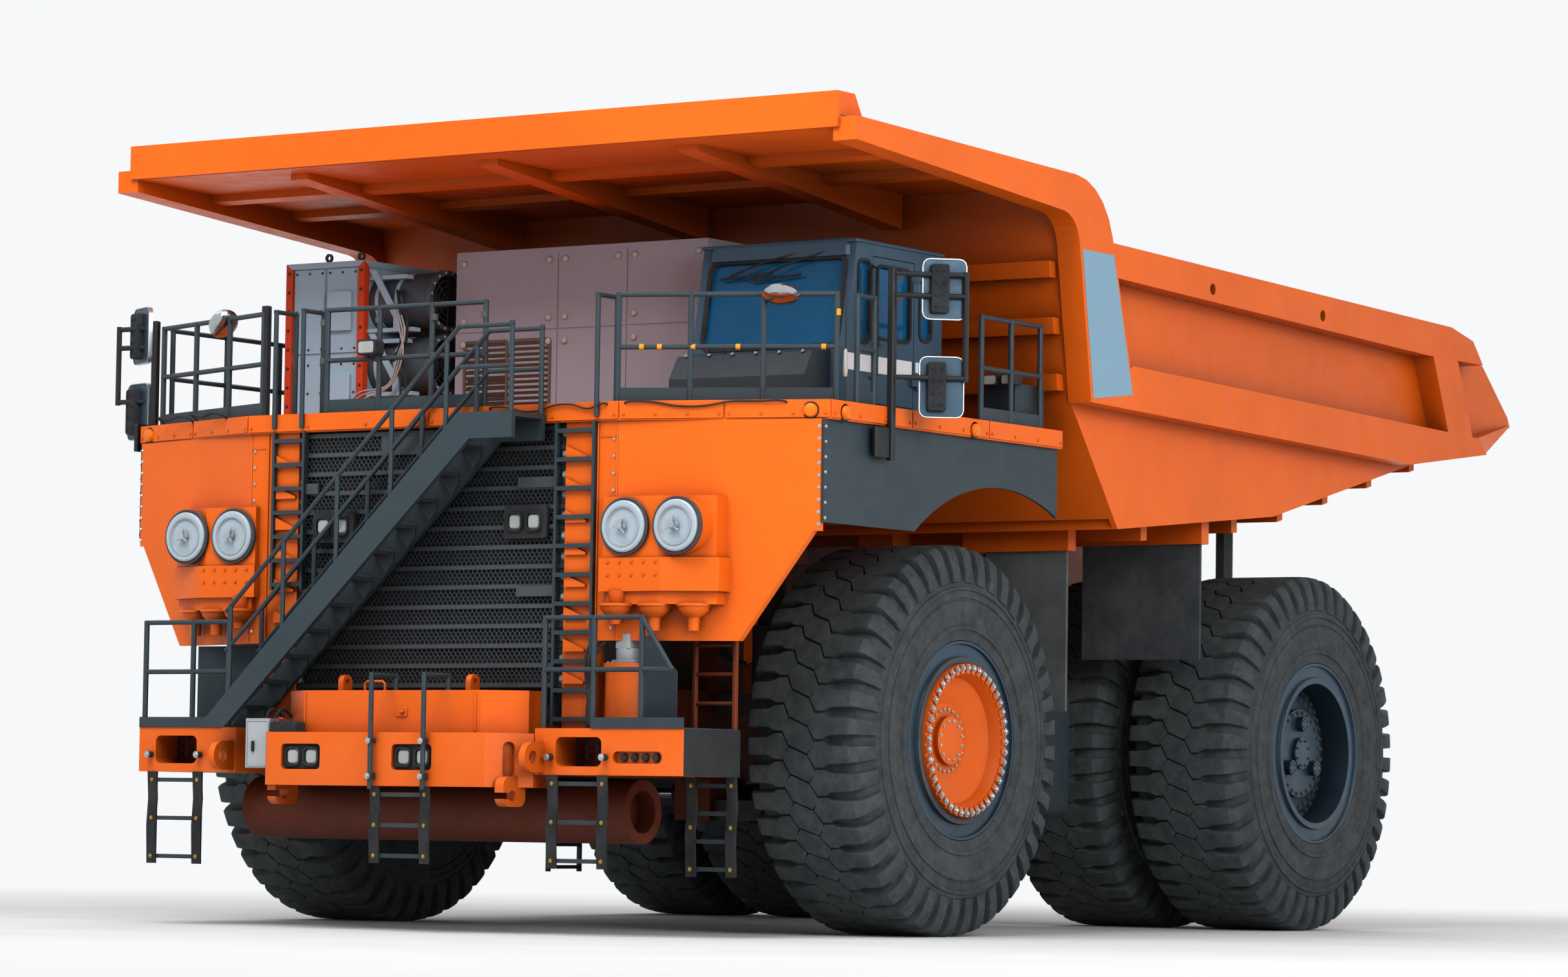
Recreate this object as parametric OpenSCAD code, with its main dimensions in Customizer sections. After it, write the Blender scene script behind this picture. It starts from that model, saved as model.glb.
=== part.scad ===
// Rigid mining dump truck, empty, standing on its wheels
// Millimetres, +X forward, +Y left, +Z up, ground at z = 0

/* [Wheels] */
// Distance between front and rear axle
wheelbase = 6600; // [6500:10:6700]
// Outer diameter of every tyre, over the lugs
tyre_d = 3760; // [3700:10:3780]
// Width of a tyre at its sidewalls
tyre_w = 1350; // [1330:5:1370]
// Width of the tread between its shoulders
tread_w = 1100; // [1060:10:1120]
// Diameter over the rim flanges
rim_d = 1910; // [1880:10:1930]
// Middle of a front tyre, from the centre line
front_tyre_y = 3270; // [3260:5:3300]
// Middle of an outer rear tyre, from the centre line
rear_tyre_y = 3600; // [3590:5:3640]
// Spacing of the twin rear tyres
twin_pitch = 1570; // [1560:5:1580]
// Shoulder lugs round one tyre
lug_count = 44; // [36:1:48]
// Rim cleats round one front hub
cleat_count = 44; // [36:2:48]
// Depth of the grooves between the shoulder lugs
lug_depth = 95; // [80:5:110]

/* [Chassis] */
// Inner face of a frame rail, from the centre line
rail_in = 740; // [720:10:760]
// Width of a frame rail
rail_w = 420; // [400:10:430]
// Front axle to the middle of the machine
front_axle_x = 3580; // [3500:10:3650]
// Front face of the bumper beam, ahead of the front axle
bumper_x = 4100; // [4080:10:4120]

/* [Deck and cab] */
// Height of the deck surface
deck_z = 4950; // [4930:10:4960]
// Thickness of the deck
deck_t = 180; // [160:10:200]
// Half width of the deck
deck_hw = 4150; // [4140:5:4160]
// Height of the cab above the deck
cab_h = 1650; // [1600:10:1680]
// Lean of the windscreen from its sill to the roof
cab_rake = 190; // [150:10:220]
// Thickness of the cab walls
cab_t = 80; // [70:5:90]
// Thickness of the window glass
glass_t = 14; // [10:1:20]

/* [Dump bed] */
// Outer face of the side walls, from the centre line
bed_hw = 4200; // [4180:5:4220]
// Thickness of the bed side walls
wall_t = 60; // [50:5:70]
// Depth of the rails and posts outside the side walls
rail_step = 250; // [230:5:260]
// Rear tip of the bed, behind the rear axle
tail_over = 4750; // [4700:10:4800]

/* [Fits] */
// Radial clearance of pins, shafts and rods
run_gap = 0.3; // [0.2:0.05:0.5]

/* [Hidden] */
$fn = 48;

arc_steps = 5;
seat_gap = 0.05;

axle_z = tyre_d / 2;
rear_x = -wheelbase;
rail_out = rail_in + rail_w;
king_y = 2480;
knuckle_low = 1300;
knuckle_top = axle_z + 230;
seat_r = 800;
rim_r = rim_d / 2;
rim_hw = tyre_w / 2 - 30;
rear_in_y = rear_tyre_y - twin_pitch;
spindle_r = 200;
king_r = 110;
axle_r = 480;
link_x = -700;
link_z = 1350;
rod_x = -480;

frame_low = 1480;
frame_top = 2350;
nose_top = 1950;
kick_x = rear_x * 0.38;
arch_x = rear_x + 2100;
pivot_x = rear_x - 1600;
pivot_z = 2950;
pivot_r = 130;
hoist_y = 1480;
hoist_low = [rear_x * 6 / 11, 1650];
hoist_high = hoist_low + [-700, 2300];
hoist_pin = 90;
hoist_d = hoist_high - hoist_low;
hoist_len = norm(hoist_d);
hoist_tilt = atan2(hoist_d[0], hoist_d[1]);
tank_x0 = hoist_low[0] - 550;
tank_x1 = hoist_low[0] + 700;

front_x = 3300;
panel_x = front_x + 30;
fold_y = 2200;
side_x = 2780;
plat_x = 3690;
plat_z = 1910;
plat_hw = 3240;
plat_rail_x = plat_x - 28;
beam_low = 1360;
beam_top = 1860;
beam_lamps = [-885, 440];
cleaner_y = [2340, 2930];
cleaner_z = 3780;
grille_hw = 1600;
grille_rows = 13;
grille_cols = 15;
stair_x = panel_x + 70;
stair_w = 520;
stringer_t = 54;

deck_low = deck_z - deck_t;
skirt_y = deck_hw - 70;
edge_y = deck_hw - 50;
guard_h = 1020;
cab_x0 = -270;
cab_x1 = 1450;
cab_y1 = deck_hw - 690;
cab_y0 = cab_y1 - 1760;
cab_top = deck_z + cab_h;
sill_z = deck_z + 620;
door_x0 = 240;
door_x1 = 970;
door_gap = 8;
door_z0 = deck_z + 120;
door_z1 = cab_top - 130;
hinge_y = cab_y1 + 30;
hinge_r = 14;
hinge_z = [door_z0 + 250, door_z1 - 250];
grid_y0 = 590 - deck_hw;
grid_y1 = grid_y0 + 1020;
grid_top = 6710;
cabinet_y0 = grid_y1 + 950;
cabinet_y1 = cab_y0 - 210;
cabinet_x = 900;
cabinet_top = 6760;

rail_hw = bed_hw + rail_step;
inner_hw = bed_hw - wall_t;
tail_x = rear_x - tail_over;
foot_x = rear_x * 0.37;
foot_z = 4040;
bend_x = rear_x + 900;
bend_z = 4350;
floor_t = 100;
knee = [-1500, 5230];
canopy_x = 2810;
front_flap_x = foot_x - 290;
rear_flap_x = rear_x + tyre_d / 2 + 220;

// Height of the bed's underside at a station
function under(x) = x > bend_x
  ? foot_z + (foot_x - x) * (bend_z - foot_z) / (foot_x - bend_x)
  : bend_z + (bend_x - x) * 1340 / (bend_x - tail_x);
// Height of the canopy's underside at a station
function eave(x) = 7440 + (x - canopy_x) / 40;
// Top of the frame rail behind the deck
function rail_top(x) = x > arch_x
  ? 2500 + (kick_x - x) * 650 / (kick_x - arch_x)
  : 3150 + (arch_x - x) / 22;
// Station of the front panel's outer face
function panel_front(y) = y < fold_y
  ? panel_x
  : panel_x - (y - fold_y) * (panel_x - side_x) / (skirt_y - fold_y);

// Station of the cab's front face at a height
function screen_x(z) = cab_x1 - max(0, z - sill_z) * cab_rake / (cab_top - sill_z);
// Corner p of an outline that comes from q and goes on to s, as an arc of radius r
function rounded(q, p, s, r) =
  let (u = (q - p) / norm(q - p), v = (s - p) / norm(s - p), half = acos(u * v) / 2)
  let (c = p + (u + v) / norm(u + v) * r / sin(half), a = p + u * r / tan(half) - c)
  let (b = p + v * r / tan(half) - c, turn = atan2(a[0] * b[1] - a[1] * b[0], a * b))
  [for (i = [0 : arc_steps]) let (t = atan2(a[1], a[0]) + turn * i / arc_steps) c + r * [cos(t), sin(t)]];
// Rectangle between two corners, its own corners rounded
function soft(a0, a1, b0, b1, r) =
  let (p = [[a0, b0], [a1, b0], [a1, b1], [a0, b1]])
  [for (i = [0 : 3]) each rounded(p[(i + 3) % 4], p[i], p[(i + 1) % 4], r)];

module station() {
  translate([front_axle_x, 0, 0]) children();
}
module both() {
  children();
  mirror([0, 1, 0]) children();
}
module side(s) {
  if (s > 0) children();
  else mirror([0, 1, 0]) children();
}
module box(x0, x1, y0, y1, z0, z1) {
  translate([x0, y0, z0]) cube([x1 - x0, y1 - y0, z1 - z0]);
}
module xz(y0, y1) {
  translate([0, y1, 0]) rotate([90, 0, 0]) linear_extrude(y1 - y0) children();
}
module yz(x0, x1) {
  translate([x0, 0, 0]) rotate([90, 0, 90]) linear_extrude(x1 - x0) children();
}
module plan(z0, z1) {
  translate([0, 0, z0]) linear_extrude(z1 - z0) children();
}
module cyl_x(y, z, x0, x1, r) {
  translate([x0, y, z]) rotate([0, 90, 0]) cylinder(r = r, h = x1 - x0);
}
module cyl_y(x, z, y0, y1, r) {
  translate([x, y0, z]) rotate([-90, 0, 0]) cylinder(r = r, h = y1 - y0);
}
module cyl_z(x, y, z0, z1, r) {
  translate([x, y, z0]) cylinder(r = r, h = z1 - z0);
}
module turned_y(x, y, z) {
  translate([x, y, z]) rotate([-90, 0, 0]) rotate_extrude() children();
}
// Octagonal tube between two points of one vertical plane, a along the plane and b up
module tube(a0, b0, a1, b1, d) {
  len = norm([a1 - a0, b1 - b0]);
  translate([a0, 0, b0]) rotate([0, atan2(a1 - a0, b1 - b0), 0]) rotate([0, 0, 22.5])
    cylinder(d = d, h = len, $fn = 8);
}
// Upright plane that starts at p and runs towards q
module upright(p, q) {
  translate([p[0], p[1], 0]) rotate([0, 0, atan2(q[1] - p[1], q[0] - p[0])]) children();
}
// Straight guard rail with posts, two rails and a kick plate
module guard_run(p, q, z0, h, posts) {
  len = norm(q - p);
  translate([0, 0, seat_gap]) upright(p, q) {
    translate([0, -10, z0]) cube([len, 20, 130]);
    for (i = [0 : posts - 1])
      tube(30 + i * (len - 60) / (posts - 1), z0, 30 + i * (len - 60) / (posts - 1), z0 + h, 56);
    tube(10, z0 + h - 20, len - 10, z0 + h - 20, 50);
    tube(10, z0 + h / 2, len - 10, z0 + h / 2, 50);
  }
}
// Ladder in the plane through p and q, with side straps and rungs
module ladder(p, q, z0, z1, n) {
  len = norm(q - p);
  upright(p, q) {
    translate([0, -25, z0]) cube([30, 50, z1 - z0]);
    translate([len - 30, -25, z0]) cube([30, 50, z1 - z0]);
    for (i = [0 : n - 1])
      translate([20, -25, z0 + 30 + i * (z1 - z0 - 130) / (n - 1)]) cube([len - 40, 50, 40]);
  }
}

module main_frame() {
  tail_r = rail_top(pivot_x) - pivot_z - 2;
  color("#c65a1c") station() difference() {
    union() {
      both() {
        xz(rail_in, rail_out) polygon([[front_x, frame_low], [front_x, nose_top], [side_x, nose_top],
          [side_x - 100, frame_top], [-1500, frame_top], [kick_x, 2500], [arch_x, rail_top(arch_x)],
          for (t = [90 : 18 : 180]) [pivot_x + tail_r * cos(t), pivot_z + tail_r * sin(t)],
          [pivot_x - 250, 2650], [rear_x + 1000, 2620], [hoist_low[0], frame_low]]);
        box(-250, 250, rail_in, rail_out, 1080, 1500);
        box(-250, 250, rail_out - 260, rail_out, 2300, deck_low);
        box(-250, 250, rail_out - 20, 1950, 3600, 3760);
        box(-250, 250, rail_out - 20, rail_out + 40, 2340, 3620);
        cyl_y(hoist_low[0], hoist_low[1], rail_out - 40, hoist_y - 110, 200);
        cyl_y(hoist_low[0], hoist_low[1], hoist_y - 130, hoist_y + 125, hoist_pin);
        cyl_y(hoist_low[0], hoist_low[1], hoist_y + 110, hoist_y + 150, 150);
        cyl_y(pivot_x, pivot_z, rail_out - 40, rail_out + 150, pivot_r);
        cyl_y(pivot_x, pivot_z, rail_out + 140, rail_out + 170, 190);
      }
      box(2900, front_x, -1560, 1560, frame_low, nose_top);
      cross_member(1200, 1500, 1490, 1560);
      cross_member(-1600, -1250, 1600, 2300);
      cross_member(rear_x + 1700, rear_x + 2000, 1560, 3050);
      cross_member(rear_x - 950, rear_x - 550, 2760, 3000);
      cross_member(pivot_x - 200, pivot_x + 100, 2750, 3250);
      cyl_y(2960, 1150, -2280, 2280, 300);
      box(2760, 3160, -900, 900, 1200, 1500);
    }
    both() cyl_y(2960, 1150, 2080, 2300, 200);
  }
}
module cross_member(x0, x1, z0, z1) {
  box(x0, x1, -rail_in - 20, rail_in + 20, z0, z1);
}

module engine() {
  color("#4a4d50") station() {
    box(300, 2700, -rail_in + 40, rail_in - 40, 1560, 3300);
    cyl_x(0, 2300, -1000, 300, 600);
    box(2820, 3150, -1400, 1400, 1950, 4600);
  }
}

module suspension() {
  color("#55595c") station() both() {
    for (z = [knuckle_low - 220, knuckle_top + 20]) {
      box(-160, 160, rail_out, king_y, z, z + 200);
      cyl_z(0, king_y, z, z + 200, 130);
    }
    cyl_z(0, king_y, knuckle_low - 30, knuckle_top + 30, king_r);
    cyl_z(0, 1700, knuckle_top + 210, 3000, 190);
    cyl_z(0, 1700, 2990, 3600, 140);
    cyl_z(rear_x - 750, 500, axle_z + 180, 2760, 150);
  }
}

module rear_axle() {
  color("#4d5256") station() {
    turned_y(rear_x, 0, axle_z) polygon([[0, -1330], [560, -1330], [600, -1290], [600, 1290], [560, 1330],
      [0, 1330]]);
    cyl_y(rear_x, axle_z, -rear_tyre_y - 100, rear_tyre_y + 100, axle_r);
    plan(1650, 2000) polygon([[rear_x + 300, 560], [rear_x + 300, -560], [rear_x + 1700, -200],
      [rear_x + 1700, 200]]);
    both() box(rear_x - 960, rear_x - 300, 340, 660, axle_z, axle_z + 180);
  }
}

module steering_cylinders() {
  color("#3b3f42") station() both() difference() {
    union() {
      cyl_y(rod_x, link_z, 250, 1400, 95);
      box(rod_x - 80, rod_x + 80, rail_in + 20, rail_out - 20, link_z + 60, 1480);
    }
    cyl_y(rod_x, link_z, 270, 1410, 50 + run_gap);
  }
}

module side_tanks() {
  color("#d9611c") station() {
    tank(2650);
    mirror([0, 1, 0]) tank(3150);
  }
}
module tank(outer) {
  yz(tank_x0, tank_x1) polygon(soft(1800, outer, 1150, 2500, 130));
  for (x = [tank_x0, tank_x1 - 150]) box(x, x + 100, rail_out, 1810, 1850, 2000);
}

module bumper() {
  beam_end = 1290;
  color("#e8641a") station() {
    difference() {
      plan(beam_low, beam_top) polygon([[front_x, -1550], [plat_x, -1550], [plat_x, -1350],
        [bumper_x - 50, -1350], [bumper_x, -beam_end], [bumper_x, beam_end], [plat_x, 1550],
        [front_x, 1550]]);
      for (y = beam_lamps) yz(bumper_x - 90, bumper_x + 10) polygon(soft(y - 235, y + 235, 1510, 1750, 40));
      upright([bumper_x, beam_end], [plat_x, 1550])
        xz(-60, 60) polygon(soft(180, 300, beam_low + 80, beam_top - 80, 55));
    }
    plan(beam_top, 2260) polygon([[front_x + 45, -1420], [3600, -1420], [3850, -1050], [3850, 1050],
      [3600, 1420], [front_x + 45, 1420]]);
    for (y = [-760, 760]) lifting_eye(y);
    platform_left();
    platform_right();
    tow_lug(1600);
    tow_lug(-2110);
    for (y = [-1280, 1420]) tow_hook(y);
  }
}
module tow_hook(y) {
  xz(y - 50, y + 50) difference() {
    polygon(soft(3700, 4040, 1180, beam_low + 100, 90));
    translate([3900, 1280]) circle(r = 50);
    translate([3900, 1250]) square([200, 60]);
  }
}
module lifting_eye(y) {
  xz(y - 30, y + 30) difference() {
    union() {
      translate([3530, 2250]) square([140, 95]);
      translate([3600, 2345]) circle(r = 70);
    }
    translate([3600, 2345]) circle(r = 30);
  }
}
module platform_left() {
  difference() {
    box(side_x, plat_x, 1560, plat_hw, frame_low, plat_z);
    step_opening(1800);
    yz(plat_x - 50, plat_x + 10) polygon(soft(2450, 3000, 1590, 1700, 50));
  }
}
module step_opening(y) {
  yz(plat_x - 490, plat_x + 10) polygon(soft(y, y + 520, 1560, 1830, 60));
}
module platform_right() {
  difference() {
    plan(frame_low, plat_z) polygon([[side_x, -1560], [front_x, -1560], [front_x, -1900], [plat_x, -2020],
      [plat_x, -plat_hw], [side_x, -plat_hw]]);
    step_opening(-3030);
  }
}
module tow_lug(y) {
  difference() {
    union() {
      box(3680, 3860, y, y + 70, 1500, 1780);
      cyl_y(3850, 1640, y, y + 70, 140);
    }
    cyl_y(3860, 1640, y - 10, y + 80, 60);
  }
}

module lamps() {
  color("#e8e8e0") station() {
    for (y = beam_lamps) for (d = [-110, 110])
      yz(bumper_x - 90, bumper_x - 25) polygon(soft(y + d - 90, y + d + 90, 1540, 1720, 45));
    for (y = [-1150, 1150]) yz(panel_x - 20, panel_x + 20) polygon(soft(y - 160, y + 160, 3740, 3960, 40));
    both() box(side_x - 130, side_x - 80, deck_hw, deck_hw + 30, deck_low + 60, deck_low + 130);
  }
}

module radiator_grille() {
  low = plat_z + 370;
  row = (deck_low - low - 80) / grille_rows;
  col = (2 * grille_hw - 60) / grille_cols;
  color("#1d1f21") station() {
    difference() {
      box(front_x - 50, front_x, -grille_hw, grille_hw, low, deck_low);
      for (i = [0 : grille_rows - 1]) for (j = [0 : grille_cols - 1])
        translate([front_x - 60, 50 - grille_hw + j * col, low + 75 + i * row])
          cube([70, col - 40, row - 70]);
    }
    for (i = [0 : grille_rows]) box(front_x - 10, front_x + 10, -grille_hw, grille_hw, low + 20 + i * row,
      low + 60 + i * row);
  }
}

module front_panels() {
  color("#f1691a") station() both() difference() {
    union() {
      box(3200, panel_x, grille_hw, 1980, plat_z, deck_low);
      plan(2730, deck_low) polygon([[panel_x, 1970], [panel_x, fold_y], [side_x, skirt_y],
        [side_x - 60, skirt_y], [side_x - 60, skirt_y - 40], [panel_x - 65, fold_y - 20],
        [panel_x - 65, 1970]]);
    }
    yz(2500, 3500) polygon([[skirt_y + 100, 3740], [skirt_y - 60, 3740], [skirt_y - 730, 2730],
      [skirt_y - 730, 2600], [skirt_y + 100, 2600]]);
  }
}

module behind_panel() {
  polygon([[2400, 1900], [panel_x, 1900], [panel_x, fold_y], [side_x, skirt_y], [2400, skirt_y]]);
}
module air_cleaners() {
  color("#ec6418") station() both() difference() {
    union() {
      plan(3480, 4060) polygon([[panel_x + 60, 2080], [panel_x + 60, 2700], [3200, 3230], [2900, 3230],
        [2900, 2080]]);
      plan(3180, 3490) polygon([[panel_x + 90, 2060], [panel_x + 90, 2760], [3210, 3270], [2900, 3270],
        [2900, 2060]]);
      for (y = cleaner_y) cyl_x(y, cleaner_z, 2950, 3410, 262);
      for (y = [2250, 2620, 2980]) translate([panel_front(y) + 50, y, 2950])
        cylinder(r1 = 45, r2 = 100, h = 240);
    }
    plan(2800, 4300) behind_panel();
  }
}
module air_cleaner_covers() {
  color("#b4c0c8") station() both() for (y = cleaner_y)
    translate([3410, y, cleaner_z]) rotate([0, 90, 0]) rotate_extrude()
      polygon([[0, 0], [240, 0], [240, 30], [225, 40], [170, 40], [160, 25], [45, 25], [45, 65], [0, 65]]);
}

module deck() {
  color("#ee6a1c") station()
    plan(deck_low, deck_z) polygon([[-1420, deck_hw], [side_x - 60, deck_hw], [panel_x + 30, fold_y + 20],
      [panel_x + 30, -fold_y - 20], [side_x - 60, -deck_hw], [-1420, -deck_hw]]);
}

module fender_skirts() {
  color("#3d464b") station() both() xz(skirt_y, skirt_y + 30) difference() {
    translate([-1400, 3820]) square([side_x - 20 + 1400, deck_low - 3820]);
    translate([-330, 1720]) circle(r = 2600);
  }
}

module stringers() {
  for (x = [stair_x, stair_x + stair_w - stringer_t]) yz(x, x + stringer_t)
    polygon([[-2290, plat_z], [-1988, plat_z], [905, 4600], [1400, 4600], [1400, 4850], [760, 4850],
      [-2270, nose_top]]);
}
module stairway() {
  color("#3a4348") station() {
    stringers();
    for (i = [0 : 10]) translate([stair_x + 20, -2080 + i * 255, 2090 + i * 244])
      cube([stair_w - 40, 230, 35]);
    box(panel_x + 30, stair_x + stair_w - 20, 780, 1400, 4800, 4840);
  }
}

module ladders() {
  color("#2f3538") station() {
    ladder([bumper_x - 40, 0], [bumper_x - 40, 620], 660, beam_low, 3);
    ladder([plat_x - 30, 1760], [plat_x - 30, 2360], 640, frame_low, 3);
    ladder([plat_x - 30, -3070], [plat_x - 30, -2470], 610, frame_low, 3);
    ladder([side_x + 40, 2740], [side_x + 40, 3220], 580, frame_low, 4);
    ladder([tank_x1 - 60, -3175], [tank_x1 - 660, -3175], 500, 1600, 5);
    ladder([panel_x + 25, -1900], [panel_x + 25, -1500], 3250, deck_low, 7);
    ladder([panel_x + 25, 1500], [panel_x + 25, 1960], nose_top, deck_low, 11);
  }
}

module stair_rail() {
  for (i = [0 : 4]) tube(-1950 + i * 640, 2240 + i * 613, -1950 + i * 640, 3080 + i * 613, 50);
  tube(1370, 4830, 1370, 5690, 50);
  tube(-2000, 3020, 760, 5663, 46);
  tube(745, 5655, 1390, 5655, 46);
  tube(-2000, 2640, 760, 5283, 40);
  tube(745, 5275, 1390, 5275, 40);
}
module ladder_loop(y) {
  translate([0, y, 0]) {
    tube(panel_x + 62, deck_low + 40, panel_x + 62, deck_z + guard_h, 50);
    tube(panel_x + 80, deck_z + guard_h - 20, panel_x - 260, deck_z + guard_h - 20, 46);
    tube(panel_x - 245, deck_z + seat_gap, panel_x - 245, deck_z + guard_h, 50);
  }
  box(panel_x + 30 + seat_gap, panel_x + 65, y - 20, y + 20, deck_low + 60, deck_low + 110);
}
module handrails() {
  color("#38434a") station() {
    difference() {
      for (x = [stair_x + stringer_t / 2, stair_x + stair_w - stringer_t / 2])
        translate([x, 0, 0]) rotate([0, 0, 90]) stair_rail();
      translate([0, 0, seat_gap]) stringers();
    }
    for (y = [-1870, -1530, 1985]) ladder_loop(y);
    guard_run([panel_x - 30, 2120], [2450, edge_y - 40], deck_z, guard_h, 4);
    guard_run([2250, edge_y], [1900, edge_y], deck_z, guard_h, 2);
    guard_run([60, edge_y], [-1100, edge_y], deck_z, guard_h, 3);
    guard_run([panel_x - 30, -1330], [panel_x - 30, 640], deck_z, guard_h, 4);
    guard_run([panel_x - 30, -2080], [2520, 40 - edge_y], deck_z, guard_h, 4);
    guard_run([2350, -edge_y], [-1100, -edge_y], deck_z, guard_h, 5);
    translate([plat_rail_x, 0, 0]) rotate([0, 0, 90]) {
      for (y = [-3200, -2600, -2150, 1640, 2200, 2740]) tube(y, plat_z + seat_gap, y, 2950, 56);
      for (z = [2450, 2930]) {
        tube(-3200, z, -2150, z, 50);
        tube(1640, z, 2740, z, 50);
      }
      tube(2740, 2450, 3080, 2450, 50);
      tube(2740, 2920, 3080, 2440, 50);
    }
    for (y = [0, 620]) translate([0, y, 0]) {
      tube(bumper_x + 60, 1330, bumper_x + 60, 2420, 50);
      tube(bumper_x + 60, 2395, 3780, 2395, 46);
      tube(3790, 2260, 3790, 2415, 50);
      translate([bumper_x, -20, 1420]) cube([70, 40, 60]);
    }
  }
}

module cab_outline(inset) {
  polygon([[cab_x0 + inset, deck_z + inset], [cab_x1 - inset, deck_z + inset], [cab_x1 - inset, sill_z],
    [cab_x1 - cab_rake - inset, cab_top - inset], [cab_x0 + inset, cab_top - inset]]);
}
// Window openings of the front and rear walls, and of the inner and outer side walls
module front_window() {
  yz(cab_x1 - cab_rake - cab_t - 40, cab_x1 + 10)
    polygon(soft(cab_y0 + 130, cab_y1 - 110, sill_z + 40, cab_top - 170, 70));
}
module rear_window() {
  yz(cab_x0 - 10, cab_x0 + cab_t + 10)
    polygon(soft(cab_y0 + 250, cab_y1 - 250, deck_z + 800, cab_top - 200, 70));
}
module inner_window() {
  xz(cab_y0 - 10, cab_y0 + cab_t + 10)
    polygon(soft(cab_x0 + 300, cab_x1 - 400, deck_z + 750, cab_top - 200, 70));
}
module outer_windows() {
  xz(cab_y1 - cab_t - 10, cab_y1 + 10) {
    polygon(soft(door_x1 + 60, cab_x1 - 230, deck_z + 700, cab_top - 190, 70));
    polygon(soft(-60, 130, deck_z + 800, cab_top - 300, 70));
  }
}
module door_window() {
  xz(cab_y1 - cab_t - 10, cab_y1 + 10)
    polygon(soft(door_x0 + 80, door_x1 - 80, door_z0 + 640, door_z1 - 90, 60));
}
module cab_shell() {
  color("#3c454b") station() difference() {
    union() {
      xz(cab_y0, cab_y1) cab_outline(0);
      for (z = hinge_z) hinge_pin(z);
    }
    xz(cab_y0 + cab_t, cab_y1 - cab_t) cab_outline(cab_t);
    front_window();
    rear_window();
    inner_window();
    outer_windows();
    box(door_x0 - door_gap, door_x1 + door_gap, cab_y1 - cab_t - 10, cab_y1 + 10, door_z0 - door_gap,
      door_z1 + door_gap);
  }
}
module hinge_pin(z) {
  cyl_z(door_x0 - 30, hinge_y, z - 70, z + 70, hinge_r);
  box(door_x0 - 70, door_x0 - 16, cab_y1 - 10, hinge_y + 10, z - 70, z - 40);
}
module cab_glass() {
  color("#7fa6c4") station() {
    intersection() {
      front_window();
      xz(cab_y0, cab_y1) polygon([[screen_x(sill_z) - 30, sill_z], [screen_x(cab_top) - 30, cab_top],
        [screen_x(cab_top) - 30 - glass_t, cab_top], [screen_x(sill_z) - 30 - glass_t, sill_z]]);
    }
    intersection() {
      rear_window();
      box(cab_x0 + 30, cab_x0 + 30 + glass_t, cab_y0, cab_y1, deck_z, cab_top);
    }
    intersection() {
      inner_window();
      box(cab_x0, cab_x1, cab_y0 + 30, cab_y0 + 30 + glass_t, deck_z, cab_top);
    }
    intersection() {
      outer_windows();
      box(cab_x0, cab_x1, cab_y1 - 30 - glass_t, cab_y1 - 30, deck_z, cab_top);
    }
  }
}
module cab_interior() {
  color("#2b2d30") station() translate([260, (cab_y0 + cab_y1) / 2, deck_z + cab_t]) {
    cylinder(r = 160, h = 260);
    translate([-60, 0, 0]) {
      box(-260, 300, -280, 280, 250, 420);
      xz(-260, 260) polygon([[-260, 400], [-120, 400], [-220, 1150], [-330, 1150]]);
    }
    difference() {
      box(760, 1040, -500, 560, 0, 560);
      box(700, 800, -260, 260, 0, 480);
    }
    translate([560, 0, 600]) rotate([0, -35, 0]) {
      difference() {
        cylinder(r = 230, h = 34);
        translate([0, 0, -1]) cylinder(r = 195, h = 40);
      }
      box(-200, 200, -20, 20, 5, 28);
      translate([0, 0, -430]) cylinder(r = 45, h = 450);
    }
    box(700, 800, -90, 90, 0, 360);
  }
}
module cab_door() {
  color("#3c454b") station() difference() {
    union() {
      box(door_x0, door_x1, cab_y1 - cab_t + 2, cab_y1 - 2, door_z0, door_z1);
      for (z = hinge_z) {
        cyl_z(door_x0 - 30, hinge_y, z - 40 + run_gap, z + 60, 26);
        box(door_x0 - 20, door_x0 + 70, cab_y1 + 4, hinge_y + 8, z - 40 + run_gap, z + 60);
        box(door_x0, door_x0 + 70, cab_y1 - 12, cab_y1 + 6, z - 40 + run_gap, z + 60);
      }
      box(door_x1 - 140, door_x1 - 60, cab_y1 - 10, cab_y1 + 40, door_z0 + 560, door_z0 + 600);
    }
    for (z = hinge_z) cyl_z(door_x0 - 30, hinge_y, z - 80, z + 80, hinge_r + run_gap);
    door_window();
  }
}
module door_glass() {
  color("#7fa6c4") station() intersection() {
    door_window();
    box(door_x0, door_x1, cab_y1 - 30 - glass_t, cab_y1 - 30, door_z0, door_z1);
  }
}

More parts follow.
